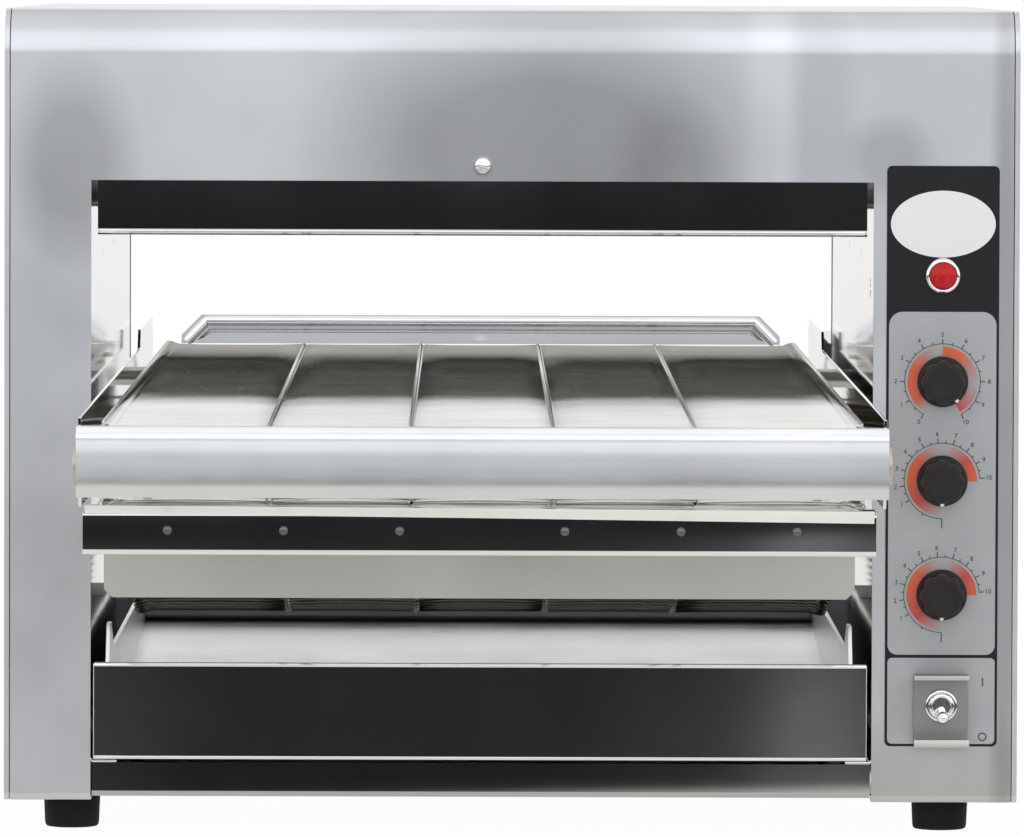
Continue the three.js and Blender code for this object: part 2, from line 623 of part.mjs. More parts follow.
// ---------------------------------------------------------------- controls
// The holes for the control shafts, the lamp and the switch through a sheet at the given y.
function controlHoles(y) {
  const hole = (radius, z) => rod(radius, 'y', y - 4, y + 4, [PANEL_X, 0, z], 16);
  const shafts = Object.values(KNOB_ZS).map(z => hole(FRONT_HOLES.shaft, z));
  return [...shafts, hole(FRONT_HOLES.lamp, LAMP_Z), hole(FRONT_HOLES.toggle, TOGGLE_Z)];
}

function controlLabel() {
  const half = LABEL.width / 2;
  const face = FRONT_Y - 0.3;
  const outline = roundedRect(PANEL_X - half, PANEL_X + half, LABEL.bottom, LABEL.top, 2.5);
  const plate = prism(outline, 'y', face - LABEL.thick, face, 2);
  add('control_label', cut(plate, ...controlHoles(face)), finish(0x8d9094, 0.5, 0));
}

function lamp() {
  const face = FRONT_Y - 0.3 - LABEL.thick - 0.3;
  const bezel = [
    [4.8, -0.6], [6.9, -0.6], [6.9, -2.4], [7.6, -2.4], [8.5, -1], [8.5, 0], [6, 0], [6, 22],
    [4.8, 22], [4.8, -0.6],
  ];
  add('lamp_bezel', turned(bezel, 'y', [PANEL_X, face, LAMP_Z], 18), finish(0xcfd1d4, 0.1, 1));
  const lens = [[0, -4.2], [3, -3.8], [5.4, -2.6], [6.6, -1.4], [6.6, -0.9], [4.5, -0.9], [4.5, 6], [0, 6]];
  add('lamp_lens', turned(lens, 'y', [PANEL_X, face, LAMP_Z], 18), finish(0xc01018, 0.2, 0));
}

function flutedOutline(r, depth, flutes, perFlute) {
  const points = [];
  const count = flutes * perFlute;
  for (let k = 0; k < count; k += 1) {
    const angle = (2 * Math.PI * k) / count;
    const reach = r - depth * (0.5 - 0.5 * Math.cos(flutes * angle));
    points.push([PANEL_X + reach * Math.cos(angle), reach * Math.sin(angle)]);
  }
  return polygon(points);
}

function knobs() {
  const back = FRONT_Y - 0.3 - LABEL.thick - 0.6;
  for (const [name, z] of Object.entries(KNOB_ZS)) {
    const grip = prism(flutedOutline(11.6, 1.1, 10, 4), 'y', back - 15, back - 3).translate(0, 0, z);
    const skirt = rod(12, 'y', back - 4, back, [PANEL_X, 0, z], 24);
    const bore = rod(3.4, 'y', back - 10, back + 1, [PANEL_X, 0, z], 16);
    add(`${name}_knob`, cut(join(grip, skirt), bore), blackPlastic());
    const inside = FRONT_Y + SHELL_T + GAP;
    const can = rod(12, 'y', inside, inside + 22, [PANEL_X, 0, z], 20);
    const bush = rod(3.5, 'y', inside - 3.5, inside + 1, [PANEL_X, 0, z], 16);
    const shaft = rod(3, 'y', back - 9, inside, [PANEL_X, 0, z], 12);
    const lug = block(PANEL_X - 9, PANEL_X + 9, inside + 6, inside + 12, z - 18, z - 8);
    add(`${name}_control`, join(can, bush, shaft, lug), finish(0x8a8c8f, 0.5, 0.7));
  }
}

function toggle() {
  const face = FRONT_Y - 0.3 - LABEL.thick - 0.3;
  const inside = FRONT_Y + SHELL_T + GAP;
  const guardLine = face - 1;
  const guard = sheet([
    [face - 16, 76], [guardLine, 76, 1.6], [guardLine, 43.2, 1.6], [face - 16, 43.2],
  ], SHEET, 3);
  const hole = rod(6.4, 'y', face - 4, face + 2, [PANEL_X, 0, TOGGLE_Z], 20);
  add('toggle_guard', cut(prism(guard, 'x', PANEL_X - 13, PANEL_X + 12.4), hole), satinSteel());

  const bushFront = face - 7.4;
  const bore = rod(4.3, 'y', bushFront - 1, inside + 2, [PANEL_X, 0, TOGGLE_Z], 16);
  const bush = rod(6, 'y', bushFront, inside + 1, [PANEL_X, 0, TOGGLE_Z], 20);
  const nut = rod(7.6, 'y', face - 5, face - 2, [PANEL_X, 0, TOGGLE_Z], 6);
  const box = block(PANEL_X - 9, PANEL_X + 9, inside, inside + 26, TOGGLE_Z - 15, TOGGLE_Z + 15);
  add('toggle_body', cut(join(box, bush, nut), bore), finish(0xc9cbce, 0.2, 1));

  const profile = [
    [0, -2.6], [1.7, -2.1], [2.5, 0], [1.7, 2.1], [1.4, 2.6], [2.2, 16], [2.9, 19], [2.4, 21.2],
    [1.2, 22.5], [0, 22.8],
  ];
  const lever = turned(profile, 'y', [0, 0, 0], 14);
  lever.rotateX(Math.PI + THREE.MathUtils.degToRad(13));
  lever.translate(PANEL_X, FRONT_Y - 1, TOGGLE_Z);
  add('toggle_lever', lever, finish(0xd5d7da, 0.08, 1));
}

// ---------------------------------------------------------------- electrical parts
function fan() {
  const y1 = REAR_Y - SHELL_T - GAP;
  const y0 = y1 - FAN.thick;
  const h = FAN.size / 2;
  const frame = prism(roundedRect(FAN.x - h, FAN.x + h, FAN.z - h, FAN.z + h, 4), 'y', y0, y1, 1);
  const bore = rod(h - 2, 'y', y0 - 1, y1 + 1, [FAN.x, 0, FAN.z], 28);
  const spokes = [
    block(FAN.x - h + 1, FAN.x + h - 1, y0, y0 + 2, FAN.z - 2, FAN.z + 2),
    block(FAN.x - 2, FAN.x + 2, y0, y0 + 2, FAN.z - h + 1, FAN.z + h - 1),
    rod(11, 'y', y0, y0 + 2, [FAN.x, 0, FAN.z], 20),
  ];
  add('fan_frame', join(cut(frame, bore), ...spokes), blackPlastic());
  const hub = rod(12, 'y', y0 + 3, y1 - 1, [FAN.x, 0, FAN.z], 20);
  const blades = [];
  for (let k = 0; k < 7; k += 1) {
    const blade = block(9, h - 3.4, -0.7, 0.7, -4.6, 4.6);
    blade.rotateX(THREE.MathUtils.degToRad(52));
    blade.rotateY((2 * Math.PI * k) / 7);
    blade.translate(FAN.x, (y0 + y1) / 2 + 1, FAN.z);
    blades.push(blade);
  }
  add('fan_rotor', join(hub, ...blades), blackPlastic());
}

function cableGland() {
  const nut = rod(11, 'y', REAR_Y + 0.3, REAR_Y + 4.6, [FAN.x, 0, GLAND_Z], 6);
  const cap = [[0, 4], [8.6, 4], [8.2, 11], [5.4, 14.5], [0, 14.5]];
  const dome = turned(cap, 'y', [FAN.x, REAR_Y, GLAND_Z], 20);
  const thread = rod(8, 'y', REAR_Y - 9, REAR_Y + 1, [FAN.x, 0, GLAND_Z], 20);
  const way = rod(4, 'y', REAR_Y - 10, REAR_Y + 16, [FAN.x, 0, GLAND_Z], 14);
  add('cable_gland', cut(join(nut, dome, thread), way), blackPlastic());
}

bodyWrap();
sidePanels();
basePan();
feet();
innerWalls();
topHeater();
baffles();
lowerHeater();
lowerGuard();
sideRails();
crossRods();
shaftsAndBearings();
conveyorBelt();
noseCover();
underGuard();
exitTray();
driveTrain();
crumbTray();
controlLabel();
lamp();
knobs();
toggle();
fan();
cableGland();

export default oven;
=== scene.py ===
"""Countertop conveyor pizza oven: materials, detailed pieces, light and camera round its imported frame.

Shapes are worked out in millimetres; meshes, bump heights, the floor and the camera are in metres.
The object's front faces -Y. Places come from the boxes of the CAD nodes wherever a node holds them.
"""

import json
import math

import bpy
from mathutils import Matrix, Vector


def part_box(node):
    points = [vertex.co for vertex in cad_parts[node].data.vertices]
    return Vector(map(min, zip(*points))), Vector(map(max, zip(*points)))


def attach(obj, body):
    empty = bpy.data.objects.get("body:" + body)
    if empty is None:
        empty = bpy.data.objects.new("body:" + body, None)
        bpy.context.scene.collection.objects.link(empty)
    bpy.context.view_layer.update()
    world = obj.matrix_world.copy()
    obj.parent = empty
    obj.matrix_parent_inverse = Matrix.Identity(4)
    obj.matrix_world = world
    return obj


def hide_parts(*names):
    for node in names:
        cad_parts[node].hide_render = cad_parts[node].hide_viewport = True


MM = 0.001

# ---------------- places taken from the frame
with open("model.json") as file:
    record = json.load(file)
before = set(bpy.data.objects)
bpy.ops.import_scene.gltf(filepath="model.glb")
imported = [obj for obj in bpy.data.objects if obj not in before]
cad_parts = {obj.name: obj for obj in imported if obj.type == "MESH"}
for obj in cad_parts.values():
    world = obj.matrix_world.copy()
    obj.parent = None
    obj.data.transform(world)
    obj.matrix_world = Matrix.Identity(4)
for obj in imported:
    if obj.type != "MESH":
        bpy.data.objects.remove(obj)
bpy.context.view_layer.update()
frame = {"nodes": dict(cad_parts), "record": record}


def node_box(name):
    """The box of a CAD node in millimetres, as (lowest corner, highest corner)."""
    low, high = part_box(name)
    return low / MM, high / MM


BODY_LOW, BODY_HIGH = node_box("body_wrap")
LABEL_LOW, LABEL_HIGH = node_box("control_label")
BELT_LOW, BELT_HIGH = node_box("conveyor_belt")
FRONT_Y = BODY_LOW.y
REAR_Y = BODY_HIGH.y
LABEL_Y = LABEL_LOW.y
DIAL_X = (LABEL_LOW.x + LABEL_HIGH.x) / 2
BELT_MID_X = (BELT_LOW.x + BELT_HIGH.x) / 2
SIDE_X = node_box("side_panel_right")[1].x
TRAY_REAR_Y = node_box("crumb_tray")[1].y


def middle(name):
    """The middle of a CAD node's box in millimetres."""
    low, high = node_box(name)
    return (low + high) / 2


# ---------------- node material helpers
def link(tree, a, b):
    tree.links.new(a, b)


def object_vector(tree, stretch=(1, 1, 1), shift=(0, 0, 0)):
    """Object coordinates, stretched and then shifted."""
    coords = tree.nodes.new("ShaderNodeTexCoord")
    mapping = tree.nodes.new("ShaderNodeMapping")
    mapping.inputs["Scale"].default_value = stretch
    mapping.inputs["Location"].default_value = shift
    link(tree, coords.outputs["Object"], mapping.inputs["Vector"])
    return mapping.outputs["Vector"]


def noise(tree, scale, stretch=(1, 1, 1), detail=2.0, roughness=0.5, shift=(0, 0, 0)):
    """Noise fixed to the object, whose coordinates are in metres."""
    node = tree.nodes.new("ShaderNodeTexNoise")
    node.inputs["Scale"].default_value = scale
    node.inputs["Detail"].default_value = detail
    node.inputs["Roughness"].default_value = roughness
    link(tree, object_vector(tree, stretch, shift), node.inputs["Vector"])
    return node.outputs["Fac"]


def spread(tree, factor, low, high, start=0.3, end=0.7):
    """Maps a factor from start..end to low..high."""
    node = tree.nodes.new("ShaderNodeMapRange")
    node.inputs["From Min"].default_value = start
    node.inputs["From Max"].default_value = end
    node.inputs["To Min"].default_value = low
    node.inputs["To Max"].default_value = high
    link(tree, factor, node.inputs["Value"])
    return node.outputs["Result"]


def combined(tree, operation, a, b):
    """One Math node on two sockets."""
    node = tree.nodes.new("ShaderNodeMath")
    node.operation = operation
    link(tree, a, node.inputs[0])
    link(tree, b, node.inputs[1])
    return node.outputs["Value"]


def colours_joined(tree, blend_type, a, b):
    """Two colours joined at full strength, by MULTIPLY or ADD."""
    node = tree.nodes.new("ShaderNodeMix")
    node.data_type = "RGBA"
    node.blend_type = blend_type
    node.inputs["Factor"].default_value = 1.0
    link(tree, a, node.inputs[6])
    link(tree, b, node.inputs[7])
    return node.outputs[2]


def ramp(tree, factor, stops):
    """A colour ramp; stops are (position, (r, g, b))."""
    node = tree.nodes.new("ShaderNodeValToRGB")
    elements = node.color_ramp.elements
    while len(elements) < len(stops):
        elements.new(0.5)
    for element, (position, colour) in zip(elements, stops):
        element.position = position
        element.color = (*colour, 1)
    link(tree, factor, node.inputs["Fac"])
    return node.outputs["Color"]


def bump(tree, height, distance, below=None):
    """A bump over the shader's normal, or over another bump."""
    node = tree.nodes.new("ShaderNodeBump")
    node.inputs["Distance"].default_value = distance
    link(tree, height, node.inputs["Height"])
    if below is not None:
        link(tree, below, node.inputs["Normal"])
    return node.outputs["Normal"]


def new_material(name):
    """A node material, with its tree and its Principled shader."""
    material = bpy.data.materials.new(name)
    material.use_nodes = True
    tree = material.node_tree
    return material, tree, tree.nodes["Principled BSDF"]


def shade(colour, factor):
    """A colour made lighter or darker."""
    return tuple(min(1.0, c * factor) for c in colour)


def blotch(tree, centre, size, tone):
    """A soft patch of painted light round a centre, both in millimetres, as a colour that multiplies the
    steel's own: a painted highlight above one, painted shade below.
    """
    scale = tuple(1 / (s * MM) for s in size)
    shift = tuple(-c * MM * k for c, k in zip(centre, scale))
    ball = tree.nodes.new("ShaderNodeTexGradient")
    ball.gradient_type = "SPHERICAL"
    link(tree, object_vector(tree, scale, shift), ball.inputs["Vector"])
    return ramp(tree, ball.outputs["Fac"], [(0.0, (1, 1, 1)), (0.55, tone)])


def metal(name, colour, rough, waves=(7.0, 0.0005), grain=((1, 1, 1), 0.0), wear=0.05,
          clouds=((6, 6, 2.5), 0.05), painted_light_patches=()):
    """Sheet steel: slow waves in the sheet, a fine grain, and handling marks in its gloss.

    waves are (noise scale, height), grain is (noise stretch, height), wear is the spread of the
    roughness, clouds are (noise stretch, drift of the colour), and painted_light_patches are soft
    patches of painted reflection and painted shade.
    """
    material, tree, bsdf = new_material(name)
    bsdf.inputs["Metallic"].default_value = 1.0
    cloud_stretch, drift = clouds
    tint = noise(tree, 2.0, stretch=cloud_stretch, detail=2.5, shift=(3, 1, 2))
    skin = ramp(tree, tint, [(0.3, shade(colour, 1 - drift)), (0.7, shade(colour, 1 + drift))])
    # Painted reflections and painted shade, multiplied into the steel's colour.
    for centre, size, tone in painted_light_patches:
        skin = colours_joined(tree, "MULTIPLY", skin, blotch(tree, centre, size, tone))
    link(tree, skin, bsdf.inputs["Base Color"])
    marks = spread(tree, noise(tree, 26.0, detail=3.0), rough - wear / 2, rough + wear / 2)
    stretch, depth = grain
    streaks = noise(tree, 1.0, stretch=stretch, detail=2.0)
    fine = spread(tree, streaks, -wear / 4, wear / 4)
    link(tree, combined(tree, "ADD", marks, fine), bsdf.inputs["Roughness"])
    wave_scale, wave_height = waves
    surface = bump(tree, noise(tree, wave_scale, detail=1.0), wave_height)
    if depth:
        surface = bump(tree, streaks, depth, surface)
    link(tree, surface, bsdf.inputs["Normal"])
    return material


def plastic(name, colour, rough, pebble=(900.0, 0.00004), coat=0.0, specular=0.3):
    """A moulded or painted finish with a fine pebble, faint colour drift and handling marks."""
    material, tree, bsdf = new_material(name)
    drift = noise(tree, 60.0, detail=4.0)
    skin = ramp(tree, drift, [(0.3, shade(colour, 0.85)), (0.7, shade(colour, 1.15))])
    link(tree, skin, bsdf.inputs["Base Color"])
    marks = noise(tree, 160.0, detail=3.0)
    link(tree, spread(tree, marks, rough - 0.05, rough + 0.05), bsdf.inputs["Roughness"])
    bsdf.inputs["Coat Weight"].default_value = coat
    bsdf.inputs["Specular IOR Level"].default_value = specular
    pebble_scale, pebble_height = pebble
    pebbled = bump(tree, noise(tree, pebble_scale, detail=2.0), pebble_height)
    link(tree, pebbled, bsdf.inputs["Normal"])
    return material


def wool_material():
    """Mineral wool: pale matted fibres, longest across the oven."""
    material, tree, bsdf = new_material("mineral_wool_fibre")
    fibres = noise(tree, 1.0, stretch=(260, 900, 600), detail=6.0, roughness=0.75)
    skin = ramp(tree, fibres, [(0.3, (0.42, 0.37, 0.26)), (0.7, (0.80, 0.76, 0.64))])
    link(tree, skin, bsdf.inputs["Base Color"])
    bsdf.inputs["Roughness"].default_value = 0.95
    link(tree, bump(tree, fibres, 0.002), bsdf.inputs["Normal"])
    return material


def sheath_material():
    """A tubular heating element, browned by heat unevenly along its length."""
    material, tree, bsdf = new_material("element_oxide")
    bsdf.inputs["Metallic"].default_value = 0.85
    oxide = noise(tree, 26.0, detail=5.0, roughness=0.65)
    browned = ramp(tree, oxide, [(0.25, (0.11, 0.09, 0.075)), (0.5, (0.24, 0.19, 0.15)),
                                 (0.75, (0.33, 0.30, 0.27))])
    link(tree, browned, bsdf.inputs["Base Color"])
    link(tree, spread(tree, oxide, 0.38, 0.62), bsdf.inputs["Roughness"])
    link(tree, bump(tree, noise(tree, 700.0, detail=3.0), 0.0001), bsdf.inputs["Normal"])
    return material


def lens_material():
    """The lamp's moulded red lens, with a fine pattern inside it."""
    material, tree, bsdf = new_material("lamp_red")
    pattern = noise(tree, 420.0, detail=2.0)
    skin = ramp(tree, pattern, [(0.3, (0.34, 0.002, 0.004)), (0.7, (0.56, 0.006, 0.010))])
    link(tree, skin, bsdf.inputs["Base Color"])
    bsdf.inputs["Specular IOR Level"].default_value = 0.3
    link(tree, spread(tree, pattern, 0.2, 0.3), bsdf.inputs["Roughness"])
    link(tree, bump(tree, pattern, 0.00006), bsdf.inputs["Normal"])
    return material


FILM_GRAIN = 1600.0
FILM_GRAIN_HEIGHT = 0.00001


def printed(name, colour, rough=0.42, grain=0.05):
    """Screen printed ink on polyester film: a satin skin with a trace of grain and uneven ink."""
    material, tree, bsdf = new_material(name)
    ink = noise(tree, 45.0, detail=4.0, roughness=0.55)
    low, high = shade(colour, 1 - grain), shade(colour, 1 + grain)
    link(tree, ramp(tree, ink, [(0.3, low), (0.7, high)]), bsdf.inputs["Base Color"])
    link(tree, spread(tree, noise(tree, 300.0), rough - 0.04, rough + 0.04), bsdf.inputs["Roughness"])
    bsdf.inputs["Specular IOR Level"].default_value = 0.14
    link(tree, bump(tree, noise(tree, FILM_GRAIN), FILM_GRAIN_HEIGHT), bsdf.inputs["Normal"])
    return material


def ring_material(name, centre_z, stops):
    """The coloured ring of a dial: its colour runs with the angle round the knob."""
    material, tree, bsdf = new_material(name)
    shift = (-DIAL_X * MM, 0, -centre_z * MM)
    split = tree.nodes.new("ShaderNodeSeparateXYZ")
    link(tree, object_vector(tree, shift=shift), split.inputs["Vector"])
    joined = tree.nodes.new("ShaderNodeCombineXYZ")
    link(tree, split.outputs["Z"], joined.inputs["X"])
    link(tree, split.outputs["X"], joined.inputs["Y"])
    radial = tree.nodes.new("ShaderNodeTexGradient")
    radial.gradient_type = "RADIAL"
    link(tree, joined.outputs["Vector"], radial.inputs["Vector"])
    link(tree, ramp(tree, radial.outputs["Fac"], stops), bsdf.inputs["Base Color"])
    link(tree, spread(tree, noise(tree, 300.0), 0.38, 0.46), bsdf.inputs["Roughness"])
    link(tree, bump(tree, noise(tree, FILM_GRAIN), FILM_GRAIN_HEIGHT), bsdf.inputs["Normal"])
    return material


STEEL = (0.63, 0.645, 0.67)
MIRROR = (0.80, 0.80, 0.795)
PRINT_BLACK = (0.014, 0.0155, 0.017)
PRINT_SILVER = (0.36, 0.365, 0.375)
PRINT_WHITE = (0.70, 0.70, 0.705)
POINTER_WHITE = (0.85, 0.85, 0.84)
INK = (0.05, 0.055, 0.058)
SATIN_WAVES = (5.0, 0.0010)
UPRIGHT_GRAIN = ((1500, 1500, 60), 0.0000012)

# Each patch is (centre, reach, tone). They are painted reflections standing for what the steel mirrored
# in a real room: tones above one are painted highlights, tones below one painted shade.
HOOD_PAINTED_REFLECTIONS = [
    ((14, FRONT_Y, 325), (120, 200, 70), (0.60, 0.60, 0.60)),
    ((75, FRONT_Y, 316), (30, 100, 40), (0.84, 0.84, 0.84)),
    ((-208, FRONT_Y, 318), (34, 100, 55), (0.70, 0.70, 0.70)),
    ((178, FRONT_Y, 320), (24, 100, 24), (0.80, 0.80, 0.80)),
    ((146, FRONT_Y, 330), (20, 100, 90), (0.88, 0.88, 0.89)),
    ((122, FRONT_Y, 335), (16, 100, 110), (1.12, 1.12, 1.12)),
    ((-120, FRONT_Y, 330), (70, 100, 70), (1.05, 1.05, 1.05)),
    ((-222, FRONT_Y, 170), (40, 120, 210), (0.90, 0.90, 0.90)),
    ((233.5, FRONT_Y, 190), (9, 120, 300), (0.66, 0.66, 0.66)),
    ((205, FRONT_Y, 26), (75, 100, 40), (0.86, 0.83, 0.79)),
]
# Painted highlight along the nose cover's top bend, and a band of painted shade just below it.
NOSE_PAINTED_HIGHLIGHT_AND_SHADE = [
    ((BELT_MID_X, -510, 206), (4000, 200, 7), (1.36, 1.35, 1.33)),
    ((BELT_MID_X, -515, 194), (4000, 200, 6), (0.86, 0.86, 0.86)),
]
# Painted shade on the belt: a darker painted reflection on its exit end, and painted shade on its return
# run under the top run.
BELT_PAINTED_SHADE = [
    ((BELT_MID_X, REAR_Y + 120, 200), (700, 330, 160), (0.52, 0.51, 0.49)),
    ((BELT_MID_X, 0, BELT_LOW.z), (1400, 900, 60), (0.26, 0.25, 0.24)),
]
# Painted shade darkens the crumb tray's rear wall.
TRAY_PAINTED_SHADE = [((BELT_MID_X, TRAY_REAR_Y, 80), (2000, 22, 200), (0.20, 0.19, 0.18))]

materials = {
    "satin_steel": metal("satin_steel_skin", STEEL, 0.31, SATIN_WAVES, UPRIGHT_GRAIN),
    "mirror_steel": metal("mirror_steel_skin", MIRROR, 0.05, (5.0, 0.00030), ((900, 60, 900), 0.0), 0.012,
                          ((4, 4, 4), 0.012)),
    "plain_steel": metal("mill_steel_skin", (0.56, 0.55, 0.52), 0.42, (12.0, 0.0005),
                         ((60, 1200, 1200), 0.000006), 0.1),
    "belt_wire": metal("belt_wire_skin", (0.74, 0.725, 0.70), 0.24, (60.0, 0.0001),
                       ((90, 900, 900), 0.000003), 0.06, painted_light_patches=BELT_PAINTED_SHADE),
    "element_sheath": sheath_material(),
    "bronze": metal("bronze_skin", (0.58, 0.50, 0.38), 0.36, (90.0, 0.0001),
                    ((700, 700, 700), 0.00002)),
    "foot_rubber": plastic("foot_rubber_skin", (0.009, 0.009, 0.009), 0.7, (700.0, 0.00008),
                           specular=0.12),
    "mineral_wool": wool_material(),
    "label_film": printed("label_black", PRINT_BLACK),
    "chrome_trim": metal("chrome_skin", (0.86, 0.86, 0.87), 0.09, (120.0, 0.00003),
                         ((900, 900, 900), 0.0)),
    "red_lens": lens_material(),
    "knob_black": plastic("knob_black_skin", (0.016, 0.015, 0.014), 0.36, (1200.0, 0.00003),
                          specular=0.22),
    "control_case": plastic("control_case_skin", (0.35, 0.36, 0.37), 0.4, (500.0, 0.00003)),
    "motor_paint": plastic("motor_paint_skin", (0.05, 0.052, 0.055), 0.45, (600.0, 0.00006), coat=0.2),
    "black_plastic": plastic("black_plastic_skin", (0.02, 0.02, 0.021), 0.45),
}
hood_steel = metal("hood_steel_skin", STEEL, 0.31, SATIN_WAVES, UPRIGHT_GRAIN, painted_light_patches=HOOD_PAINTED_REFLECTIONS)
nose_steel = metal("nose_steel_skin", (0.71, 0.72, 0.73), 0.22, (6.0, 0.0004),
                   ((50, 1400, 1400), 0.0000008), 0.04, painted_light_patches=NOSE_PAINTED_HIGHLIGHT_AND_SHADE)
# A lit copy of the steel: painted lighter than the rest so the tray's polished floor reads bright, with
# painted shade on its rear wall. The under guard's lip shares it.
lit_and_shaded_tray_steel = metal("tray_steel_skin", (0.90, 0.90, 0.885), 0.30, (7.0, 0.0006),
                   ((60, 900, 900), 0.0000008), painted_light_patches=TRAY_PAINTED_SHADE)
base_steel = metal("base_steel_skin", (0.46, 0.46, 0.455), 0.05, (6.0, 0.0003),
                   ((50, 900, 900), 0.0), 0.012)
# A darker copy of the steel: painted shade on the guard round the power switch.
shaded_switch_steel = metal("switch_steel_skin", (0.30, 0.30, 0.295), 0.32, (30.0, 0.0001),
                     ((900, 900, 60), 0.000001))
rim_steel = metal("rim_steel_skin", (0.80, 0.81, 0.83), 0.13, (6.0, 0.0003),
                  ((50, 900, 900), 0.0000005), 0.03)
# A dark copy of the steel: painted shade that dims the under guard's rivets.
shaded_rivet_steel = metal("rivet_skin", (0.15, 0.15, 0.15), 0.24, (200.0, 0.00002))
pointer_white = printed("pointer_white", POINTER_WHITE)
label_white = printed("label_white", PRINT_WHITE, 0.45, 0.02)
label_silver = printed("label_silver", PRINT_SILVER, 0.40, 0.04)
label_ink = printed("label_ink", INK)


# ---------------- carried-over CAD nodes
WELD_REACH = 0.00001
BEVEL_ANGLE = math.radians(40)
SHARP_ANGLE = math.radians(32)


def smoothing_group():
    """A node group that smooths faces and keeps the edges sharper than SHARP_ANGLE."""
    group = bpy.data.node_groups.new("smooth_by_angle", "GeometryNodeTree")
    group.interface.new_socket("Geometry", in_out="INPUT", socket_type="NodeSocketGeometry")
    group.interface.new_socket("Geometry", in_out="OUTPUT", socket_type="NodeSocketGeometry")
    start = group.nodes.new("NodeGroupInput")
    end = group.nodes.new("NodeGroupOutput")
    faces = group.nodes.new("GeometryNodeSetShadeSmooth")
    soft = group.nodes.new("GeometryNodeSetShadeSmooth")
    soft.domain = "EDGE"
    sharp = group.nodes.new("GeometryNodeSetShadeSmooth")
    sharp.domain = "EDGE"
    sharp.inputs["Shade Smooth"].default_value = False
    angle = group.nodes.new("GeometryNodeInputMeshEdgeAngle")
    steep = group.nodes.new("FunctionNodeCompare")
    steep.operation = "GREATER_THAN"
    steep.inputs["B"].default_value = SHARP_ANGLE
    group.links.new(start.outputs[0], faces.inputs["Geometry"])
    group.links.new(faces.outputs["Geometry"], soft.inputs["Geometry"])
    group.links.new(soft.outputs["Geometry"], sharp.inputs["Geometry"])
    group.links.new(angle.outputs["Unsigned Angle"], steep.inputs["A"])
    group.links.new(steep.outputs["Result"], sharp.inputs["Selection"])
    group.links.new(sharp.outputs["Geometry"], end.inputs[0])
    return group


SMOOTHING = smoothing_group()
BEVELS = {
    "side_panel_left": 1.0, "side_panel_right": 1.0, "control_label": 0.15, "fan_frame": 0.5,
    "gear_motor": 1.2, "cable_gland": 0.5, "top_insulation": 3.0, "chain_guard": 0.45,
    "side_rail_left": 0.4, "side_rail_right": 0.4, "lower_guard": 0.3, "toggle_guard": 0.3,
}
DEFAULT_BEVEL = 0.25


def dress(name, node, material):
    """Gives a CAD node its material, softened edges and smooth bends, without touching its mesh."""
    if "custom_normal" in node.data.attributes:
        node.data.attributes.remove(node.data.attributes["custom_normal"])
    node.data.materials.clear()
    node.data.materials.append(material)
    weld = node.modifiers.new("weld", "WELD")
    weld.merge_threshold = WELD_REACH
    edge = node.modifiers.new("edges", "BEVEL")
    edge.width = BEVELS.get(name, DEFAULT_BEVEL) * MM
    edge.segments = 2
    edge.limit_method = "ANGLE"
    edge.angle_limit = BEVEL_ANGLE
    smooth = node.modifiers.new("smooth", "NODES")
    smooth.node_group = SMOOTHING
    weighted = node.modifiers.new("normals", "WEIGHTED_NORMAL")
    weighted.keep_sharp = True


slot_of = {row["node"]: row["material_slot"] for row in frame["record"]["subparts"]}
skin_of = {name: materials[slot] for name, slot in slot_of.items()}
skin_of["body_wrap"] = hood_steel
skin_of["crumb_tray"] = lit_and_shaded_tray_steel
skin_of["toggle_guard"] = shaded_switch_steel
skin_of["base_pan"] = base_steel
for node_name, cad_node in frame["nodes"].items():
    dress(node_name, cad_node, skin_of[node_name])


# ---------------- mesh helpers, in millimetres
def piece(name, points, faces, material, body, stands_for=(), smooth_deg=35):
    """A mesh object from points in millimetres. It rides on a body and takes a material slot."""
    mesh = bpy.data.meshes.new(name)
    mesh.from_pydata([Vector(p) * MM for p in points], [], faces)
    mesh.materials.append(material)
    mesh.update()
    for polygon in mesh.polygons:
        polygon.use_smooth = True
    mesh.set_sharp_from_angle(angle=math.radians(smooth_deg))
    made = bpy.data.objects.new(name, mesh)
    bpy.context.scene.collection.objects.link(made)
    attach(made, body)
    if stands_for:
        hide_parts(*stands_for)
    return made


def loft(rings):
    """Points and faces of a closed body through rings with equal counts, capped at both ends."""
    points = [p for ring in rings for p in ring]
    count = len(rings[0])
    faces = []
    for k in range(len(rings) - 1):
        for i in range(count):
            j = (i + 1) % count
            a, b = k * count, (k + 1) * count
            faces.append((a + i, a + j, b + j, b + i))
    faces.append(tuple(reversed(range(count))))
    faces.append(tuple((len(rings) - 1) * count + i for i in range(count)))
    return points, faces


def gather(bodies):
    """Joins several (points, faces) bodies into one."""
    points, faces = [], []
    for some_points, some_faces in bodies:
        shift = len(points)
        points.extend(some_points)
        faces.extend(tuple(i + shift for i in face) for face in some_faces)
    return points, faces


TIP_RADIUS = 0.02    # where a turned body closes on its axis


def about(axis, centre, radius, along, angle):
    """A point at a radius and angle about an axis through centre."""
    c, s = radius * math.cos(angle), radius * math.sin(angle)
    offset = {"x": (along, c, s), "y": (s, along, c), "z": (c, s, along)}[axis]
    return Vector(centre) + Vector(offset)


def turns(count):
    """The angles of evenly spaced points round a full circle."""
    return [2 * math.pi * i / count for i in range(count)]


def lathe(profile, axis, centre, count=48):
    """A body turned about an axis: profile points are (radius, along)."""
    return loft([[about(axis, centre, max(radius, TIP_RADIUS), along, a) for a in turns(count)]
                 for radius, along in profile])


def dome(axis, centre, radius, height, direction):
    """A low rivet or screw head that stands off a surface along the axis."""
    profile = [(radius, 0), (radius, 0.25 * height), (0.86 * radius, 0.68 * height),
               (0.5 * radius, 0.93 * height), (0.0, height)]
    return lathe([(r, direction * a) for r, a in profile], axis, centre, 20)


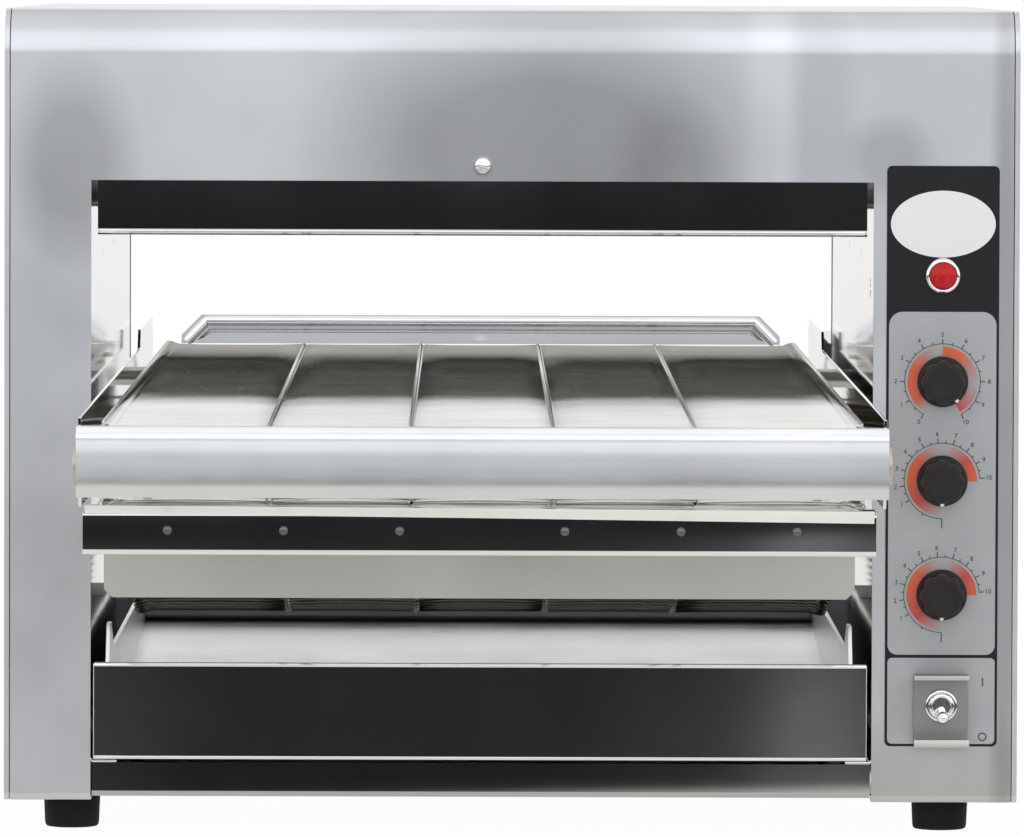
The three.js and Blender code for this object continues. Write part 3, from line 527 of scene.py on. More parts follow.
def tube(path, radius, sides=6):
    """A round wire along a path, with its rings turned evenly from point to point."""
    rings = []
    normal = Vector((0, 0, 1))
    for k, here in enumerate(path):
        before, after = path[max(k - 1, 0)], path[min(k + 1, len(path) - 1)]
        along = (after - before).normalized()
        normal = (normal - along * normal.dot(along)).normalized()
        across = along.cross(normal)
        rings.append([here + (normal * math.cos(a) + across * math.sin(a)) * radius
                      for a in turns(sides)])
    return loft(rings)


# ---------------- wire belt
SHAFT_FRONT = middle("idler_shaft")
SHAFT_REAR = middle("drive_shaft")
BELT_HALF = 1.2    # from the belt's middle line to the faces of its CAD solid
ROLLER_R = BELT_HIGH.z - BELT_HALF - SHAFT_FRONT.z
ROD_FRONT = middle("return_rod_front")
ROD_REAR = middle("return_rod_rear")
WIRE_R = 0.78
BEND = 1.5         # half the width of a Z bend
BOW = 0.22         # how far a bay's middle leads its ends, in pitches
STAGGER = 0.42     # how far every second bay leads its neighbours, in pitches
PITCH = 12.7
BAYS = (75.0, 63.5, 63.5, 63.5, 75.0)
OVER_ROD = 5.6     # from a return rod's axis to the middle line that it carries
BELLY_STEPS = 40


def arc(centre, radius, first_deg, last_deg, steps):
    """Points in (y, z) on part of a circle."""
    points = []
    for k in range(steps + 1):
        a = math.radians(first_deg + (last_deg - first_deg) * k / steps)
        points.append((centre.y + radius * math.cos(a), centre.z + radius * math.sin(a)))
    return points


def belt_line():
    """The belt's closed line in (y, z): flat top run, half turns, and a slack return run."""
    carried = ROD_FRONT.z + OVER_ROD
    lowest = BELT_LOW.z + BELT_HALF
    mid_y = (ROD_FRONT.y + ROD_REAR.y) / 2
    half = (ROD_REAR.y - ROD_FRONT.y) / 2 - 5
    belly = []
    for k in range(BELLY_STEPS + 1):
        u = -1 + 2 * k / BELLY_STEPS
        belly.append((mid_y + u * half, lowest + (carried - 1 - lowest) * u * u))
    return [
        *arc(SHAFT_FRONT, ROLLER_R, 90, 267, 20), (ROD_FRONT.y - 3, carried + 0.1), *belly,
        (ROD_REAR.y + 3, carried + 0.1), *arc(SHAFT_REAR, ROLLER_R, -87, 90, 20),
    ]


def along_line(line):
    """Returns the line's length and a function from distance to (point, outward normal)."""
    closed = [*line, line[0]]
    marks = [0.0]
    for (y0, z0), (y1, z1) in zip(closed, closed[1:]):
        marks.append(marks[-1] + math.hypot(y1 - y0, z1 - z0))

    def at(distance):
        """The point and outward normal at a distance along the line."""
        distance %= marks[-1]
        k = max(i for i, mark in enumerate(marks[:-1]) if mark <= distance)
        (y0, z0), (y1, z1) = closed[k], closed[k + 1]
        span = marks[k + 1] - marks[k]
        t = (distance - marks[k]) / span
        point = Vector((0, y0 + (y1 - y0) * t, z0 + (z1 - z0) * t))
        return point, Vector((0, (z1 - z0) / span, -(y1 - y0) / span))

    return marks[-1], at


def edge_loop(side, pitch):
    """The curl at one end of a wire, from the belt's edge inwards, as (x, forward, up)."""
    edge = side * sum(BAYS) / 2
    return [(edge - side * 9, 1.02 * pitch, -0.8), (edge - side * 5, 1.14 * pitch, 0.4),
            (edge - side * 1.4, 1.0 * pitch, 1.5), (edge, 0.55 * pitch, 1.7),
            (edge - side * 1.0, 0.14 * pitch, 0.9), (edge - side * 4, -0.04 * pitch, 0.1)]


def strand_shape(pitch):
    """One wire of the belt across its width as (x, forward, up): bowed bays joined by Z bends."""
    shape = edge_loop(-1, pitch)
    x = -sum(BAYS) / 2
    for k, width in enumerate(BAYS):
        here = 0.0 if k % 2 == 0 else STAGGER * pitch
        there = STAGGER * pitch - here
        first, last = x + BEND, x + width - BEND
        if k > 0:
            shape.append((first, here, 0))
        for step in (0.25, 0.5, 0.75):
            crown = 1 - (2 * step - 1) ** 2
            shape.append((first + (last - first) * step, here + BOW * pitch * crown, -0.3 * crown))
        x += width
        if k + 1 < len(BAYS):
            shape += [(last, here, 0), (x - 0.6 * BEND, 0.75 * pitch, 0.5), (x, 1.1 * pitch, 0),
                      (x + 0.5 * BEND, there + 0.3 * pitch, -0.5)]
    return shape + edge_loop(1, pitch)[::-1]


def wire_belt():
    """The whole belt: one bent wire at each pitch of its closed line."""
    length, at = along_line(belt_line())
    count = round(length / PITCH)
    pitch = length / count
    shape = strand_shape(pitch)
    strands = []
    for k in range(count):
        path = []
        for x, forward, up in shape:
            point, normal = at(k * pitch - forward)
            path.append(point + normal * up + Vector((BELT_MID_X + x, 0, 0)))
        strands.append(tube(path, WIRE_R))
    points, faces = gather(strands)
    piece("wire_belt", points, faces, materials["belt_wire"], "oven", ["conveyor_belt"],
          smooth_deg=60)


wire_belt()


# ---------------- knobs
GRIP_LOBES = 8
GRIP_DEPTH = 1.0
GRIP_SHARPNESS = 1.6
POINTER_REACH = 11.1


def grip_ring(centre, radius, y):
    """One ring of a knob's fluted grip."""
    ring = []
    for a in turns(96):
        flute = (0.5 - 0.5 * math.cos(GRIP_LOBES * a)) ** GRIP_SHARPNESS
        ring.append(about("y", (centre.x, 0, centre.z), radius - GRIP_DEPTH * flute, y, a))
    return ring


def knob(name, pointer_deg):
    """A fluted knob on a round skirt, with a white pointer dot at a clock angle on the skirt."""
    low, high = node_box(f"{name}_knob")
    centre = (low + high) / 2
    front, back = low.y, high.y
    skirt = lathe([(0, back), (11.7, back), (12, back - 0.4), (12, back - 2.2), (11.6, back - 2.9),
                   (10.9, back - 3.3), (0, back - 3.3)], "y", (centre.x, 0, centre.z), 64)
    grip = [(10.9, back - 3.1), (10.6, back - 4.2), (10.2, front + 1.6), (9.9, front + 0.7),
            (9.2, front + 0.2), (8.2, front), (6.0, front + 0.25), (2.5, front + 0.35)]
    points, faces = gather([skirt, loft([grip_ring(centre, radius, y) for radius, y in grip])])
    piece(f"{name}_knob_body", points, faces, materials["knob_black"], f"{name}_knob",
          [f"{name}_knob"])
    angle = math.radians(pointer_deg)
    spot = (centre.x + POINTER_REACH * math.sin(angle), back - 2.9,
            centre.z + POINTER_REACH * math.cos(angle))
    points, faces = lathe([(0.95, 0.3), (0.95, -0.5), (0.6, -0.75), (0, -0.8)], "y", spot, 20)
    piece(f"{name}_knob_pointer", points, faces, pointer_white, f"{name}_knob")


POINTER_DEG = {"speed": 143, "top_heat": 180, "bottom_heat": 180}
for knob_name, pointer in POINTER_DEG.items():
    knob(knob_name, pointer)


# ---------------- printed control label
PRINT_STEP = 0.06                   # the gap between layers of print
PANEL_LAYER = 1
RING_LAYER = 2
INK_LAYER = 3
PANEL_MARGIN = 1.2
PANEL_TOP = 248
PANEL_SPLIT = (84, 85.5)            # the dark line between the two silver panels
PLAQUE_Z = 289.5
PLAQUE_RADII = (24.8, 15.8)
RING_RADII = (12.2, 16.6)
CIRCLE_RADII = (17.75, 18.05)
TICK_START = 17.9
TICK_ENDS = {"main": 20.2, "half": 19.1, "off": 22.6}
TICK_WIDTHS = {"main": 0.42, "half": 0.36, "off": 0.42}
FIGURE_RADIUS = 22.2
FIGURE_SIZE = 3.1


def rounded(x0, x1, z0, z1, r, top_r=None):
    """The outline of a rounded rectangle in (x, z), anticlockwise seen from the front."""
    top_r = r if top_r is None else top_r
    corners = [(x1 - r, z0 + r, r, -90), (x1 - top_r, z1 - top_r, top_r, 0),
               (x0 + top_r, z1 - top_r, top_r, 90), (x0 + r, z0 + r, r, 180)]
    outline = []
    for cx, cz, radius, first in corners:
        for k in range(9):
            a = math.radians(first + 90 * k / 8)
            outline.append((cx + radius * math.cos(a), cz + radius * math.sin(a)))
    return outline


def printed_point(x, z, layer):
    """A point of the print, in front of the label."""
    return Vector((x, LABEL_Y - PRINT_STEP * layer, z))


def film(outline, layer):
    """A flat printed patch facing the front."""
    return [printed_point(x, z, layer) for x, z in outline], [tuple(range(len(outline)))]


def ellipse(cx, cz, rx, rz):
    """The outline of an ellipse in (x, z)."""
    return [(cx + rx * math.cos(a), cz + rz * math.sin(a)) for a in turns(72)]


def dial_point(cz, radius, clock_deg):
    """The (x, z) of a point round a dial, from a clock angle in degrees."""
    a = math.radians(clock_deg)
    return DIAL_X + radius * math.sin(a), cz + radius * math.cos(a)


def sector(cz, radii, first_deg, last_deg, layer, steps=72):
    """A strip of ring between two radii and two clock angles."""
    inner, outer = radii
    points, faces = [], []
    for k in range(steps + 1):
        clock = first_deg + (last_deg - first_deg) * k / steps
        for radius in (outer, inner):
            points.append(printed_point(*dial_point(cz, radius, clock), layer))
    for k in range(steps):
        faces.append((2 * k, 2 * k + 1, 2 * k + 3, 2 * k + 2))
    return points, faces


def tick(cz, clock_deg, kind):
    """A printed line that points out from a dial's middle."""
    a = math.radians(clock_deg)
    width = TICK_WIDTHS[kind]
    sx, sz = width / 2 * math.cos(a), -width / 2 * math.sin(a)
    x0, z0 = dial_point(cz, TICK_START, clock_deg)
    x1, z1 = dial_point(cz, TICK_ENDS[kind], clock_deg)
    corners = [(x0 - sx, z0 - sz), (x0 + sx, z0 + sz), (x1 + sx, z1 + sz), (x1 - sx, z1 - sz)]
    return film(corners, INK_LAYER)


def figure(text, x, z):
    """Points and faces of a short number, centred at (x, z) on the label."""
    curve = bpy.data.curves.new("figure", "FONT")
    curve.body = text
    curve.size = FIGURE_SIZE
    curve.align_x = "CENTER"
    curve.align_y = "CENTER"
    temporary = bpy.data.objects.new("figure", curve)
    bpy.context.scene.collection.objects.link(temporary)
    bpy.context.view_layer.update()
    evaluated = temporary.evaluated_get(bpy.context.evaluated_depsgraph_get())
    mesh = bpy.data.meshes.new_from_object(evaluated)
    points = [printed_point(x + v.co.x, z + v.co.y, INK_LAYER) for v in mesh.vertices]
    faces = [tuple(p.vertices) for p in mesh.polygons]
    bpy.data.objects.remove(temporary)
    return points, faces


HEAT_MARKS = [-121 + 23 * k for k in range(10)]
SPEED_MARKS = [-150 + 30 * k for k in range(11)]


def dial(cz, marks, first_deg, figures):
    """The ticks, thin circle and numbers of one dial."""
    parts = [sector(cz, CIRCLE_RADII, first_deg, marks[-1], INK_LAYER)]
    for k, mark in enumerate(marks):
        parts.append(tick(cz, mark, "main"))
        if k + 1 < len(marks):
            parts.append(tick(cz, (mark + marks[k + 1]) / 2, "half"))
        parts.append(figure(figures[k], *dial_point(cz, FIGURE_RADIUS, mark)))
    return parts


def ring_stops(named):
    """Ramp stops from (clock degrees, colour): the ramp starts at the bottom and runs clockwise."""
    return [((clock + 180) / 360, colour) for clock, colour in named]


RING_ORANGE = (0.62, 0.10, 0.035)
RING_RED = (0.50, 0.06, 0.05)
RING_PINK = (0.42, 0.20, 0.19)
RING_GREY = (0.36, 0.34, 0.34)
SPEED_RING = [
    (-150, RING_GREY), (-128, RING_ORANGE), (-60, RING_ORANGE), (-35, RING_PINK), (-14, RING_GREY),
    (-1, RING_GREY), (1, RING_ORANGE), (35, RING_ORANGE), (62, RING_PINK), (95, RING_GREY),
    (122, RING_PINK), (150, RING_RED),
]
HEAT_RING = [
    (-180, RING_GREY), (-158, RING_PINK), (-135, RING_RED), (-90, RING_ORANGE), (-48, RING_ORANGE),
    (-28, RING_PINK), (-8, RING_GREY), (8, RING_GREY), (28, RING_PINK), (50, RING_RED),
    (90, RING_ORANGE),
]


def small_ring(cx, cz, inner, outer, steps=32):
    """A small printed circle."""
    points, faces = [], []
    for k, a in enumerate(turns(steps)):
        for radius in (outer, inner):
            x, z = cx + radius * math.sin(a), cz + radius * math.cos(a)
            points.append(printed_point(x, z, INK_LAYER))
        j = (k + 1) % steps
        faces.append((2 * k, 2 * k + 1, 2 * j + 1, 2 * j))
    return points, faces


def control_label():
    """The label's silver panels, blank plaque, dial rings and scales. Its only lettering is numbers."""
    left, right = LABEL_LOW.x + PANEL_MARGIN, LABEL_HIGH.x - PANEL_MARGIN
    split_low, split_high = PANEL_SPLIT
    panels = [film(rounded(left, right, split_high, PANEL_TOP, 4.5, 6.5), PANEL_LAYER),
              film(rounded(left, right, LABEL_LOW.z + PANEL_MARGIN, split_low, 2.2), PANEL_LAYER)]
    points, faces = gather(panels)
    piece("label_panels", points, faces, label_silver, "oven")
    points, faces = film(ellipse(DIAL_X, PLAQUE_Z, *PLAQUE_RADII), PANEL_LAYER)
    piece("label_plaque", points, faces, label_white, "oven")
    speed_z, top_z, bottom_z = (middle(f"{n}_knob").z for n in ("speed", "top_heat", "bottom_heat"))
    ink = dial(speed_z, SPEED_MARKS, -150, [str(k) for k in range(11)])
    for z in (top_z, bottom_z):
        ink += dial(z, HEAT_MARKS, -180, [str(k + 1) for k in range(10)])
        ink.append(tick(z, 180, "off"))
        ink.append(tick(z, -150, "half"))
    toggle_z = middle("toggle_guard").z
    stroke = rounded(DIAL_X + 19.4, DIAL_X + 20.0, toggle_z + 11, toggle_z + 15, 0.28)
    ink.append(film(stroke, INK_LAYER))
    ink.append(small_ring(DIAL_X + 19.7, toggle_z - 13, 1.5, 2.05))
    points, faces = gather(ink)
    piece("label_scales", points, faces, label_ink, "oven", smooth_deg=180)
    for name, z, stops, first, last in (
            ("speed", speed_z, SPEED_RING, -152, 150), ("top_heat", top_z, HEAT_RING, -178, 91),
            ("bottom_heat", bottom_z, HEAT_RING, -178, 91)):
        points, faces = sector(z, RING_RADII, first, last, RING_LAYER)
        coloured = ring_material(f"ring_{name}", z, ring_stops(stops))
        piece(f"label_ring_{name}", points, faces, coloured, "oven", smooth_deg=180)


control_label()


# ---------------- lamp, switch and feet
def lamp():
    """The lamp's chromed ring and domed red lens."""
    centre = middle("lamp_lens")
    at = (centre.x, 0, centre.z)
    face = LABEL_Y - 0.1
    bezel = [(6.0, face), (8.5, face), (8.6, face - 0.5), (8.3, face - 1.2), (7.6, face - 2.0),
             (7.0, face - 2.3), (6.7, face - 2.2), (6.6, face - 1.4), (6.0, face - 1.4)]
    points, faces = lathe(bezel, "y", at, 64)
    piece("lamp_ring", points, faces, materials["chrome_trim"], "oven", ["lamp_bezel"])
    lens = [(0, face - 0.2), (6.55, face - 0.2), (6.5, face - 1.8), (6.2, face - 2.4), (5.4, face - 3.1),
            (4.0, face - 3.8), (2.2, face - 4.2), (0, face - 4.35)]
    points, faces = lathe(lens, "y", at, 64)
    piece("lamp_dome", points, faces, materials["red_lens"], "oven", ["lamp_lens"])


TOGGLE_TILT = math.radians(13)
TOGGLE_PIVOT_GAP = 1    # how far the lever's pivot stands in front of the cabinet


def toggle_switch():
    """The power switch's round nut, threaded collar and bat lever."""
    centre = middle("toggle_body")
    front = node_box("toggle_body")[0].y
    at = (centre.x, 0, centre.z)
    nut = [(6.15, front + 5.4), (7.5, front + 5.4), (7.75, front + 5.0), (7.75, front + 2.4),
           (7.4, front + 1.8), (6.6, front + 1.6), (6.15, front + 1.7)]
    points, faces = lathe(nut, "y", at, 64)
    piece("toggle_nut", points, faces, materials["chrome_trim"], "oven")
    collar = [(4.35, front + 3), (6.12, front + 3), (6.12, front + 0.5), (5.7, front - 0.1),
              (4.9, front - 0.2), (4.4, front + 0.3)]
    points, faces = lathe(collar, "y", at, 64)
    piece("toggle_collar", points, faces, materials["chrome_trim"], "oven")
    stem = [(0, 2.6), (1.7, 2.1), (2.5, 0), (1.7, -2.1), (1.35, -2.6), (1.75, -10), (2.15, -16),
            (2.7, -18), (2.95, -19.4), (2.8, -20.8), (2.2, -21.9), (1.2, -22.6), (0, -22.8)]
    points, faces = lathe(stem, "y", (0, 0, 0), 40)
    pivot = Vector((centre.x, FRONT_Y - TOGGLE_PIVOT_GAP, centre.z))
    turn = Matrix.Rotation(TOGGLE_TILT, 3, "X")
    points = [turn @ p + pivot for p in points]
    piece("toggle_bat", points, faces, materials["chrome_trim"], "toggle_lever",
          ["toggle_lever"])


def feet():
    """Four round rubber bumpers, each with a screw recess underneath."""
    for name in ("foot_front_left", "foot_front_right", "foot_rear_left", "foot_rear_right"):
        low, high = node_box(name)
        centre = ((low.x + high.x) / 2, (low.y + high.y) / 2, 0)
        profile = [(0, high.z), (13.2, high.z), (13.5, high.z - 1), (12.9, 2.2), (12.6, 0.9),
                   (11.9, 0.2), (11.0, 0.0), (5.5, 0.0), (5.0, 0.6), (4.6, 3.0), (0, 3.0)]
        points, faces = lathe(profile, "z", centre, 56)
        piece(f"{name}_bumper", points, faces, materials["foot_rubber"], "oven", [name])


lamp()
toggle_switch()
feet()


# ---------------- hems, rivets and screws
def hem(name, x0, x1, y, z, radius, body):
    """A polished rolled edge: a slim rounded bar along X with drawn-in ends."""
    stations = ((x0, radius * 0.5), (x0 + 0.5, radius), (x1 - 0.5, radius), (x1, radius * 0.5))
    points, faces = loft([[about("x", (x, y, z), r, 0, a) for a in turns(20)] for x, r in stations])
    piece(name, points, faces, materials["mirror_steel"], body)


TRAY_HEM_R = 1.45
TRAY_HEM_TOP = 79.2


def tray_hems():
    """The rolled edges along the top and bottom of the crumb tray's face."""
    low, high = node_box("crumb_tray")
    y = low.y + 1.25
    hem("tray_hem_top", low.x, high.x, y, TRAY_HEM_TOP, TRAY_HEM_R, "crumb_tray")
    hem("tray_hem_bottom", low.x, high.x, y, low.z + 1.0, TRAY_HEM_R, "crumb_tray")


def heads(name, domes, material, body):
    """A set of rivet or screw heads as one piece."""
    points, faces = gather(domes)
    piece(name, points, faces, material, body)


GUARD_RIVET_RISE = 11
GUARD_RIVET_XS = (37, 89, 141)
SIDE_SCREW_INSET = 24
SIDE_SCREW_ZS = (40, 352)
REAR_SCREW_X = 225
REAR_SCREW_ZS = (36, 200, 340)
FAN_X, FAN_Z = 205, 75
FAN_SCREW_STEPS = (-25, 25)
RAIL_SCREW_YS = (-430, -262, 400, 450)
RAIL_SCREW_Z = 187
TRAY_RIVET_SIDES = ((-176, 1), (174, -1))    # (place across the belt, direction of the head)
TRAY_RIVET_YS = (-225, -210)
TRAY_RIVET_Z = 70
CLAMP_SCREW_Z = 316.5


def fasteners():
    """Rivets and screw heads: under guard, side panels, cabinet rear, belt rails and crumb tray."""
    chrome = materials["chrome_trim"]
    guard_low = node_box("under_guard")[0]
    domes = [dome("y", (BELT_MID_X + side * x, guard_low.y, guard_low.z + GUARD_RIVET_RISE), 2.0, 0.7, -1)
             for side in (-1, 1) for x in GUARD_RIVET_XS]
    heads("guard_rivets", domes, shaded_rivet_steel, "oven")
    side_ys = (FRONT_Y + SIDE_SCREW_INSET, (FRONT_Y + REAR_Y) / 2, REAR_Y - SIDE_SCREW_INSET)
    domes = [dome("x", (side * (SIDE_X - 0.1), y, z), 3.6, 1.1, side)
             for side in (-1, 1) for y in side_ys for z in SIDE_SCREW_ZS]
    heads("side_screws", domes, chrome, "oven")
    domes = [dome("y", (side * REAR_SCREW_X, REAR_Y, z), 3.4, 1.4, 1)
             for side in (-1, 1) for z in REAR_SCREW_ZS]
    domes += [dome("y", (FAN_X + dx, REAR_Y, FAN_Z + dz), 2.4, 1.2, 1)
              for dx in FAN_SCREW_STEPS for dz in FAN_SCREW_STEPS]
    domes.append(dome("y", (BELT_MID_X, REAR_Y, CLAMP_SCREW_Z), 4.3, 3.2, 1))
    heads("rear_screws", domes, chrome, "oven")
    rails = ((node_box("side_rail_left")[0].x, -1), (node_box("side_rail_right")[1].x, 1))
    domes = [dome("x", (x, y, RAIL_SCREW_Z), 3.0, 1.3, side) for x, side in rails for y in RAIL_SCREW_YS]
    heads("rail_screws", domes, materials["plain_steel"], "oven")
    domes = [dome("x", (BELT_MID_X + x, y, TRAY_RIVET_Z), 2.4, 0.9, side)
             for x, side in TRAY_RIVET_SIDES for y in TRAY_RIVET_YS]
    heads("tray_rivets", domes, materials["mirror_steel"], "crumb_tray")


# ---------------- bent sheet covers
def bar(outlines):
    """A closed body through outlines given as (x, [(y, z), ...]) from one end to the other."""
    return loft([[Vector((x, y, z)) for y, z in outline] for x, outline in outlines])


def thick(line, t):
    """A sheet's closed section in (y, z): the outer line, then the same line set inwards."""
    inner = []
    for k, (y, z) in enumerate(line):
        y0, z0 = line[max(k - 1, 0)]
        y1, z1 = line[min(k + 1, len(line) - 1)]
        run = math.hypot(y1 - y0, z1 - z0)
        inner.append((y - t * (z1 - z0) / run, z + t * (y1 - y0) / run))
    return [*line, *reversed(inner)]


# The nose cover's tilt from upright, in degrees, at heights from the top down.
NOSE_TILTS = [(201.8, 42), (200.8, 16), (199.6, 1), (197.6, 6), (196.2, 6.5), (193.5, 2.6), (188, 1.2),
              (183, 0.6), (180.4, -0.6), (178.4, -4), (176.2, -13), (174.4, -20), (173.2, -26)]
NOSE_STEPS = 4


def nose_section():
    """The nose cover's outer line: a tight top bend, a crease, a crowned face and a turned-in foot."""
    low, high = node_box("nose_cover")
    heights = [(z, math.tan(math.radians(tilt))) for z, tilt in reversed(NOSE_TILTS)]
    y = low.y + 0.9
    line = [(y, heights[0][0])]
    for (z0, slope0), (z1, slope1) in zip(heights, heights[1:]):
        for step in range(1, NOSE_STEPS + 1):
            t = step / NOSE_STEPS
            y += (slope0 + (slope1 - slope0) * (t - 0.5 / NOSE_STEPS)) * (z1 - z0) / NOSE_STEPS
            line.append((y, z0 + (z1 - z0) * t))
    front = min(y for y, z in line)
    line = [(y - front + low.y, z) for y, z in line]
    top_y, top_z = line[-1]
    line += [(top_y + 1.4, top_z + 1.3), (top_y + 3.2, high.z - 0.4), (top_y + 5.4, high.z),
             (high.y, high.z)]
    return thick(line, -0.9)


def nose_cover():
    """The nose cover, bent from one sheet along the belt's front edge."""
    low, high = node_box("nose_cover")
    section = nose_section()
    points, faces = bar([(low.x, section), (high.x, section)])
    piece("nose_cover_skin", points, faces, nose_steel, "oven", ["nose_cover"])


def guard_lip():
    """The under guard's top flange: it leans forward and hangs lower at its right end."""
    low, high = node_box("under_guard")
    outlines = []
    for x, drop in ((low.x + 1, 0.0), (BELT_MID_X, 1.6), (high.x - 1, 3.6)):
        z = high.z + 0.2 - drop
        line = [(low.y - 0.3, z - 1.6), (low.y - 1.0, z - 0.6), (low.y - 3.0, z + 1.2),
                (low.y - 4.6, z + 2.2 + 0.5 * drop)]
        outlines.append((x, thick(line, -0.6)))
    points, faces = bar(outlines)
    piece("under_guard_lip", points, faces, lit_and_shaded_tray_steel, "oven")


# The exit tray's bead as (distance in from the edge, bulge towards the belt).
RIM_SECTION = [(0, 0), (0.3, 0.8), (0.9, 1.5), (1.8, 2.1), (2.9, 2.45), (3.6, 2.5), (4.9, 2.5),
               (5.6, 2.35), (6.4, 1.8), (7.4, 1.5), (8.4, 1.3), (9.0, 0.8), (9.2, -0.4), (0, -0.4)]
# One end of the bead's path as (distance in from the tray's end, height): the lip's cut corner.
RIM_CORNER = [(0.8, 206.5), (2.6, 208.4), (11.5, 217.3)]


def exit_rim():
    """A broad rolled bead along the exit tray's lip that follows its cut corners."""
    low, high = node_box("exit_tray")
    y = high.y - 3.4
    corner = [*RIM_CORNER, (14.0, high.z - 0.6)]
    path = [(low.x + inset, z) for inset, z in corner]
    path += [(high.x - inset, z) for inset, z in reversed(corner)]
    rings = []
    for k, (x, z) in enumerate(path):
        x0, z0 = path[max(k - 1, 0)]
        x1, z1 = path[min(k + 1, len(path) - 1)]
        run = math.hypot(x1 - x0, z1 - z0)
        nx, nz = (z1 - z0) / run, -(x1 - x0) / run
        rings.append([Vector((x + nx * t, y - bulge, z + nz * t)) for t, bulge in RIM_SECTION])
    points, faces = loft(rings)
    piece("exit_tray_rim", points, faces, rim_steel, "oven", smooth_deg=60)


def tray_face():
    """The polished skin of the crumb tray's face."""
    low, high = node_box("crumb_tray")
    outer, inner = low.y - 0.12, low.y + 0.1
    bottom, top = low.z + 1.2, TRAY_HEM_TOP + 0.2
    section = [(outer, bottom), (outer, top), (inner, top), (inner, bottom)]
    points, faces = bar([(low.x + 0.4, section), (high.x - 0.4, section)])
    piece("tray_face", points, faces, materials["mirror_steel"], "crumb_tray")


BAFFLE_HEM_R = 1.6


def baffle_hem(name, toward):
    """The rolled lower edge of a baffle, on the side that faces out."""
    low, high = node_box(name)
    y = low.y + BAFFLE_HEM_R if toward < 0 else high.y - BAFFLE_HEM_R
    hem(f"{name}_hem", low.x + 0.5, high.x - 0.5, y, low.z + 1.9, BAFFLE_HEM_R, name)


def switch_lip():
    """The bright lower lip, and a slimmer upper one, of the guard round the power switch."""
    low, high = node_box("toggle_guard")
    for name, bottom, tall in (("bottom", low.z + 0.2, 3.2), ("top", high.z - 1.9, 1.5)):
        line = [(low.y + 0.1, bottom + tall), (low.y - 0.5, bottom + 0.55 * tall), (low.y - 0.3, bottom)]
        section = thick(line, -0.6)
        points, faces = bar([(low.x - 0.3, section), (high.x + 0.3, section)])
        piece(f"switch_guard_{name}", points, faces, materials["plain_steel"], "oven")


nose_cover()
guard_lip()
exit_rim()
tray_hems()
tray_face()
baffle_hem("front_baffle", -1)
baffle_hem("rear_baffle", 1)
switch_lip()
fasteners()


# ---------------- studio
# Each list is (sine of the elevation, colour), from straight down to straight up.
FRONT_SKY = [
    (-1, (0.86, 0.84, 0.80)), (-0.135, (0.84, 0.82, 0.78)), (-0.115, (0.030, 0.030, 0.032)),
    (-0.03, (0.013, 0.013, 0.014)), (-0.006, (0.010, 0.010, 0.011)), (0.014, (1.36, 1.39, 1.43)),
    (0.84, (1.32, 1.33, 1.35)), (0.93, (1.02, 1.02, 1.03)), (1, (1.02, 1.02, 1.03)),
]
BACK_SKY = [
    (-1, (0.86, 0.84, 0.80)), (-0.1, (0.76, 0.75, 0.735)), (0.03, (1.02, 1.01, 1.0)),
    (0.3, (1.24, 1.24, 1.24)), (0.6, (0.72, 0.72, 0.73)), (0.9, (0.98, 0.98, 0.99)),
]
GLINT_REACH = [(-0.115, (1, 1, 1)), (-0.078, (1, 1, 1)), (-0.064, (0.25, 0.25, 0.25)), (-0.05, (0, 0, 0))]
# The low lights as (place from 0 to 1, colour), where X over Y runs from -GLINT_SPREAD to GLINT_SPREAD.
GLINT_SPREAD = 0.05
GLINTS = [
    (0.0, (0.04, 0.042, 0.045)), (0.09, (0.05, 0.052, 0.055)), (0.12, (0.014, 0.015, 0.016)),
    (0.145, (0.30, 0.31, 0.32)), (0.165, (0.30, 0.31, 0.32)), (0.195, (0.02, 0.021, 0.022)),
    (0.32, (0.012, 0.012, 0.013)), (0.40, (0, 0, 0)), (0.78, (0, 0, 0)), (0.86, (0.03, 0.031, 0.032)),
    (1.0, (0.034, 0.035, 0.036)),
]


def by_elevation(tree, height, stops):
    """A colour ramp whose stops are placed by the sine of the elevation."""
    return ramp(tree, height, [((sine + 1) / 2, colour) for sine, colour in stops])


def with_glints(tree, split, height, sky):
    """Adds the narrow lights that stand low in front, which polished faces show as soft streaks."""
    across = combined(tree, "DIVIDE", split.outputs["X"], split.outputs["Y"])
    sideways = spread(tree, across, 0, 1, -GLINT_SPREAD, GLINT_SPREAD)
    streaks = ramp(tree, sideways, GLINTS)
    reach = by_elevation(tree, height, GLINT_REACH)
    return colours_joined(tree, "ADD", sky, colours_joined(tree, "MULTIPLY", streaks, reach))


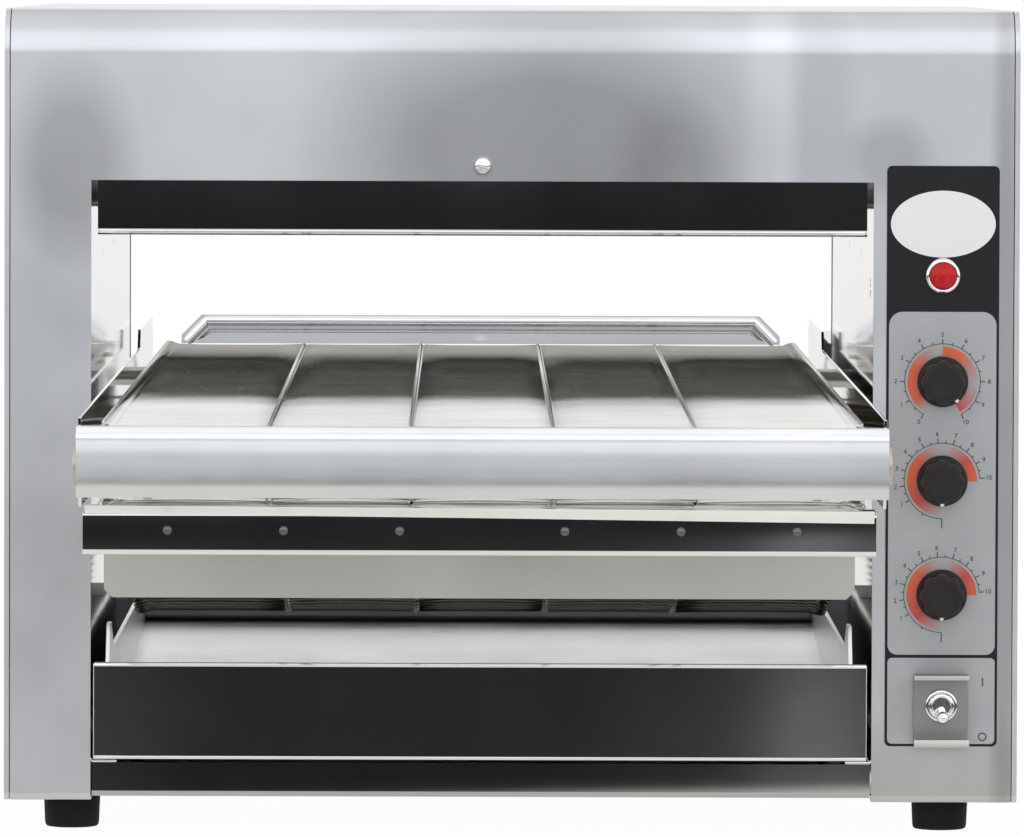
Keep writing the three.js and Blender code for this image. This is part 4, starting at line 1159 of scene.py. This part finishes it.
def world_light():
    """A white studio: bright above, pale below, with a black card low in front of the object."""
    world = bpy.data.worlds.new("studio")
    bpy.context.scene.world = world
    world.use_nodes = True
    tree = world.node_tree
    tree.nodes.clear()
    coords = tree.nodes.new("ShaderNodeTexCoord")
    split = tree.nodes.new("ShaderNodeSeparateXYZ")
    link(tree, coords.outputs["Generated"], split.inputs["Vector"])
    height = spread(tree, split.outputs["Z"], 0, 1, -1, 1)
    front = with_glints(tree, split, height, by_elevation(tree, height, FRONT_SKY))
    back = by_elevation(tree, height, BACK_SKY)
    facing = spread(tree, split.outputs["Y"], 1, 0, -0.35, -0.05)
    mix = tree.nodes.new("ShaderNodeMix")
    mix.data_type = "RGBA"
    link(tree, facing, mix.inputs["Factor"])
    link(tree, back, mix.inputs[6])
    link(tree, front, mix.inputs[7])
    lit = tree.nodes.new("ShaderNodeBackground")
    link(tree, mix.outputs[2], lit.inputs["Color"])
    lit.inputs["Strength"].default_value = 1.0
    plain = tree.nodes.new("ShaderNodeBackground")
    plain.inputs["Color"].default_value = (1, 1, 1, 1)
    path = tree.nodes.new("ShaderNodeLightPath")
    choose = tree.nodes.new("ShaderNodeMixShader")
    link(tree, path.outputs["Is Camera Ray"], choose.inputs[0])
    link(tree, lit.outputs["Background"], choose.inputs[1])
    link(tree, plain.outputs["Background"], choose.inputs[2])
    out = tree.nodes.new("ShaderNodeOutputWorld")
    link(tree, choose.outputs["Shader"], out.inputs["Surface"])


FLOOR_REACH = 60       # metres
FLOOR_GLOW = 0.97      # how much of the floor's look is plain white light


def floor():
    """A pale paper floor that takes a faint shadow and doesn't show in reflections."""
    mesh = bpy.data.meshes.new("floor")
    near, far = -FLOOR_REACH, FLOOR_REACH
    mesh.from_pydata([(near, near, 0), (far, near, 0), (far, far, 0), (near, far, 0)], [], [(0, 1, 2, 3)])
    material = bpy.data.materials.new("floor_paper")
    material.use_nodes = True
    tree = material.node_tree
    tree.nodes.clear()
    paper = tree.nodes.new("ShaderNodeBsdfDiffuse")
    paper.inputs["Color"].default_value = (0.9, 0.9, 0.9, 1)
    glow = tree.nodes.new("ShaderNodeEmission")
    glow.inputs["Strength"].default_value = 1.0
    blend = tree.nodes.new("ShaderNodeMixShader")
    blend.inputs[0].default_value = FLOOR_GLOW
    link(tree, paper.outputs["BSDF"], blend.inputs[1])
    link(tree, glow.outputs["Emission"], blend.inputs[2])
    out = tree.nodes.new("ShaderNodeOutputMaterial")
    link(tree, blend.outputs["Shader"], out.inputs["Surface"])
    mesh.materials.append(material)
    made = bpy.data.objects.new("floor", mesh)
    bpy.context.scene.collection.objects.link(made)
    made.visible_glossy = False


EYE = Vector((-0.0196, -5.0445, 0.412))
TARGET = Vector((0.0002, -0.2445, 0.1968))
ROLL = math.radians(0.2)
LENS = 357
SENSOR_WIDTH = 36


def camera():
    """A long lens low in front of the object, in metres."""
    data = bpy.data.cameras.new("camera")
    data.sensor_width = SENSOR_WIDTH
    data.lens = LENS
    data.clip_start = 0.1
    data.clip_end = 200
    made = bpy.data.objects.new("camera", data)
    bpy.context.scene.collection.objects.link(made)
    aim = (TARGET - EYE).to_track_quat("-Z", "Y").to_matrix().to_4x4()
    made.matrix_world = Matrix.Translation(EYE) @ aim @ Matrix.Rotation(ROLL, 4, "Z")
    bpy.context.scene.camera = made


world_light()
floor()
camera()
bpy.context.scene.view_settings.view_transform = "Standard"
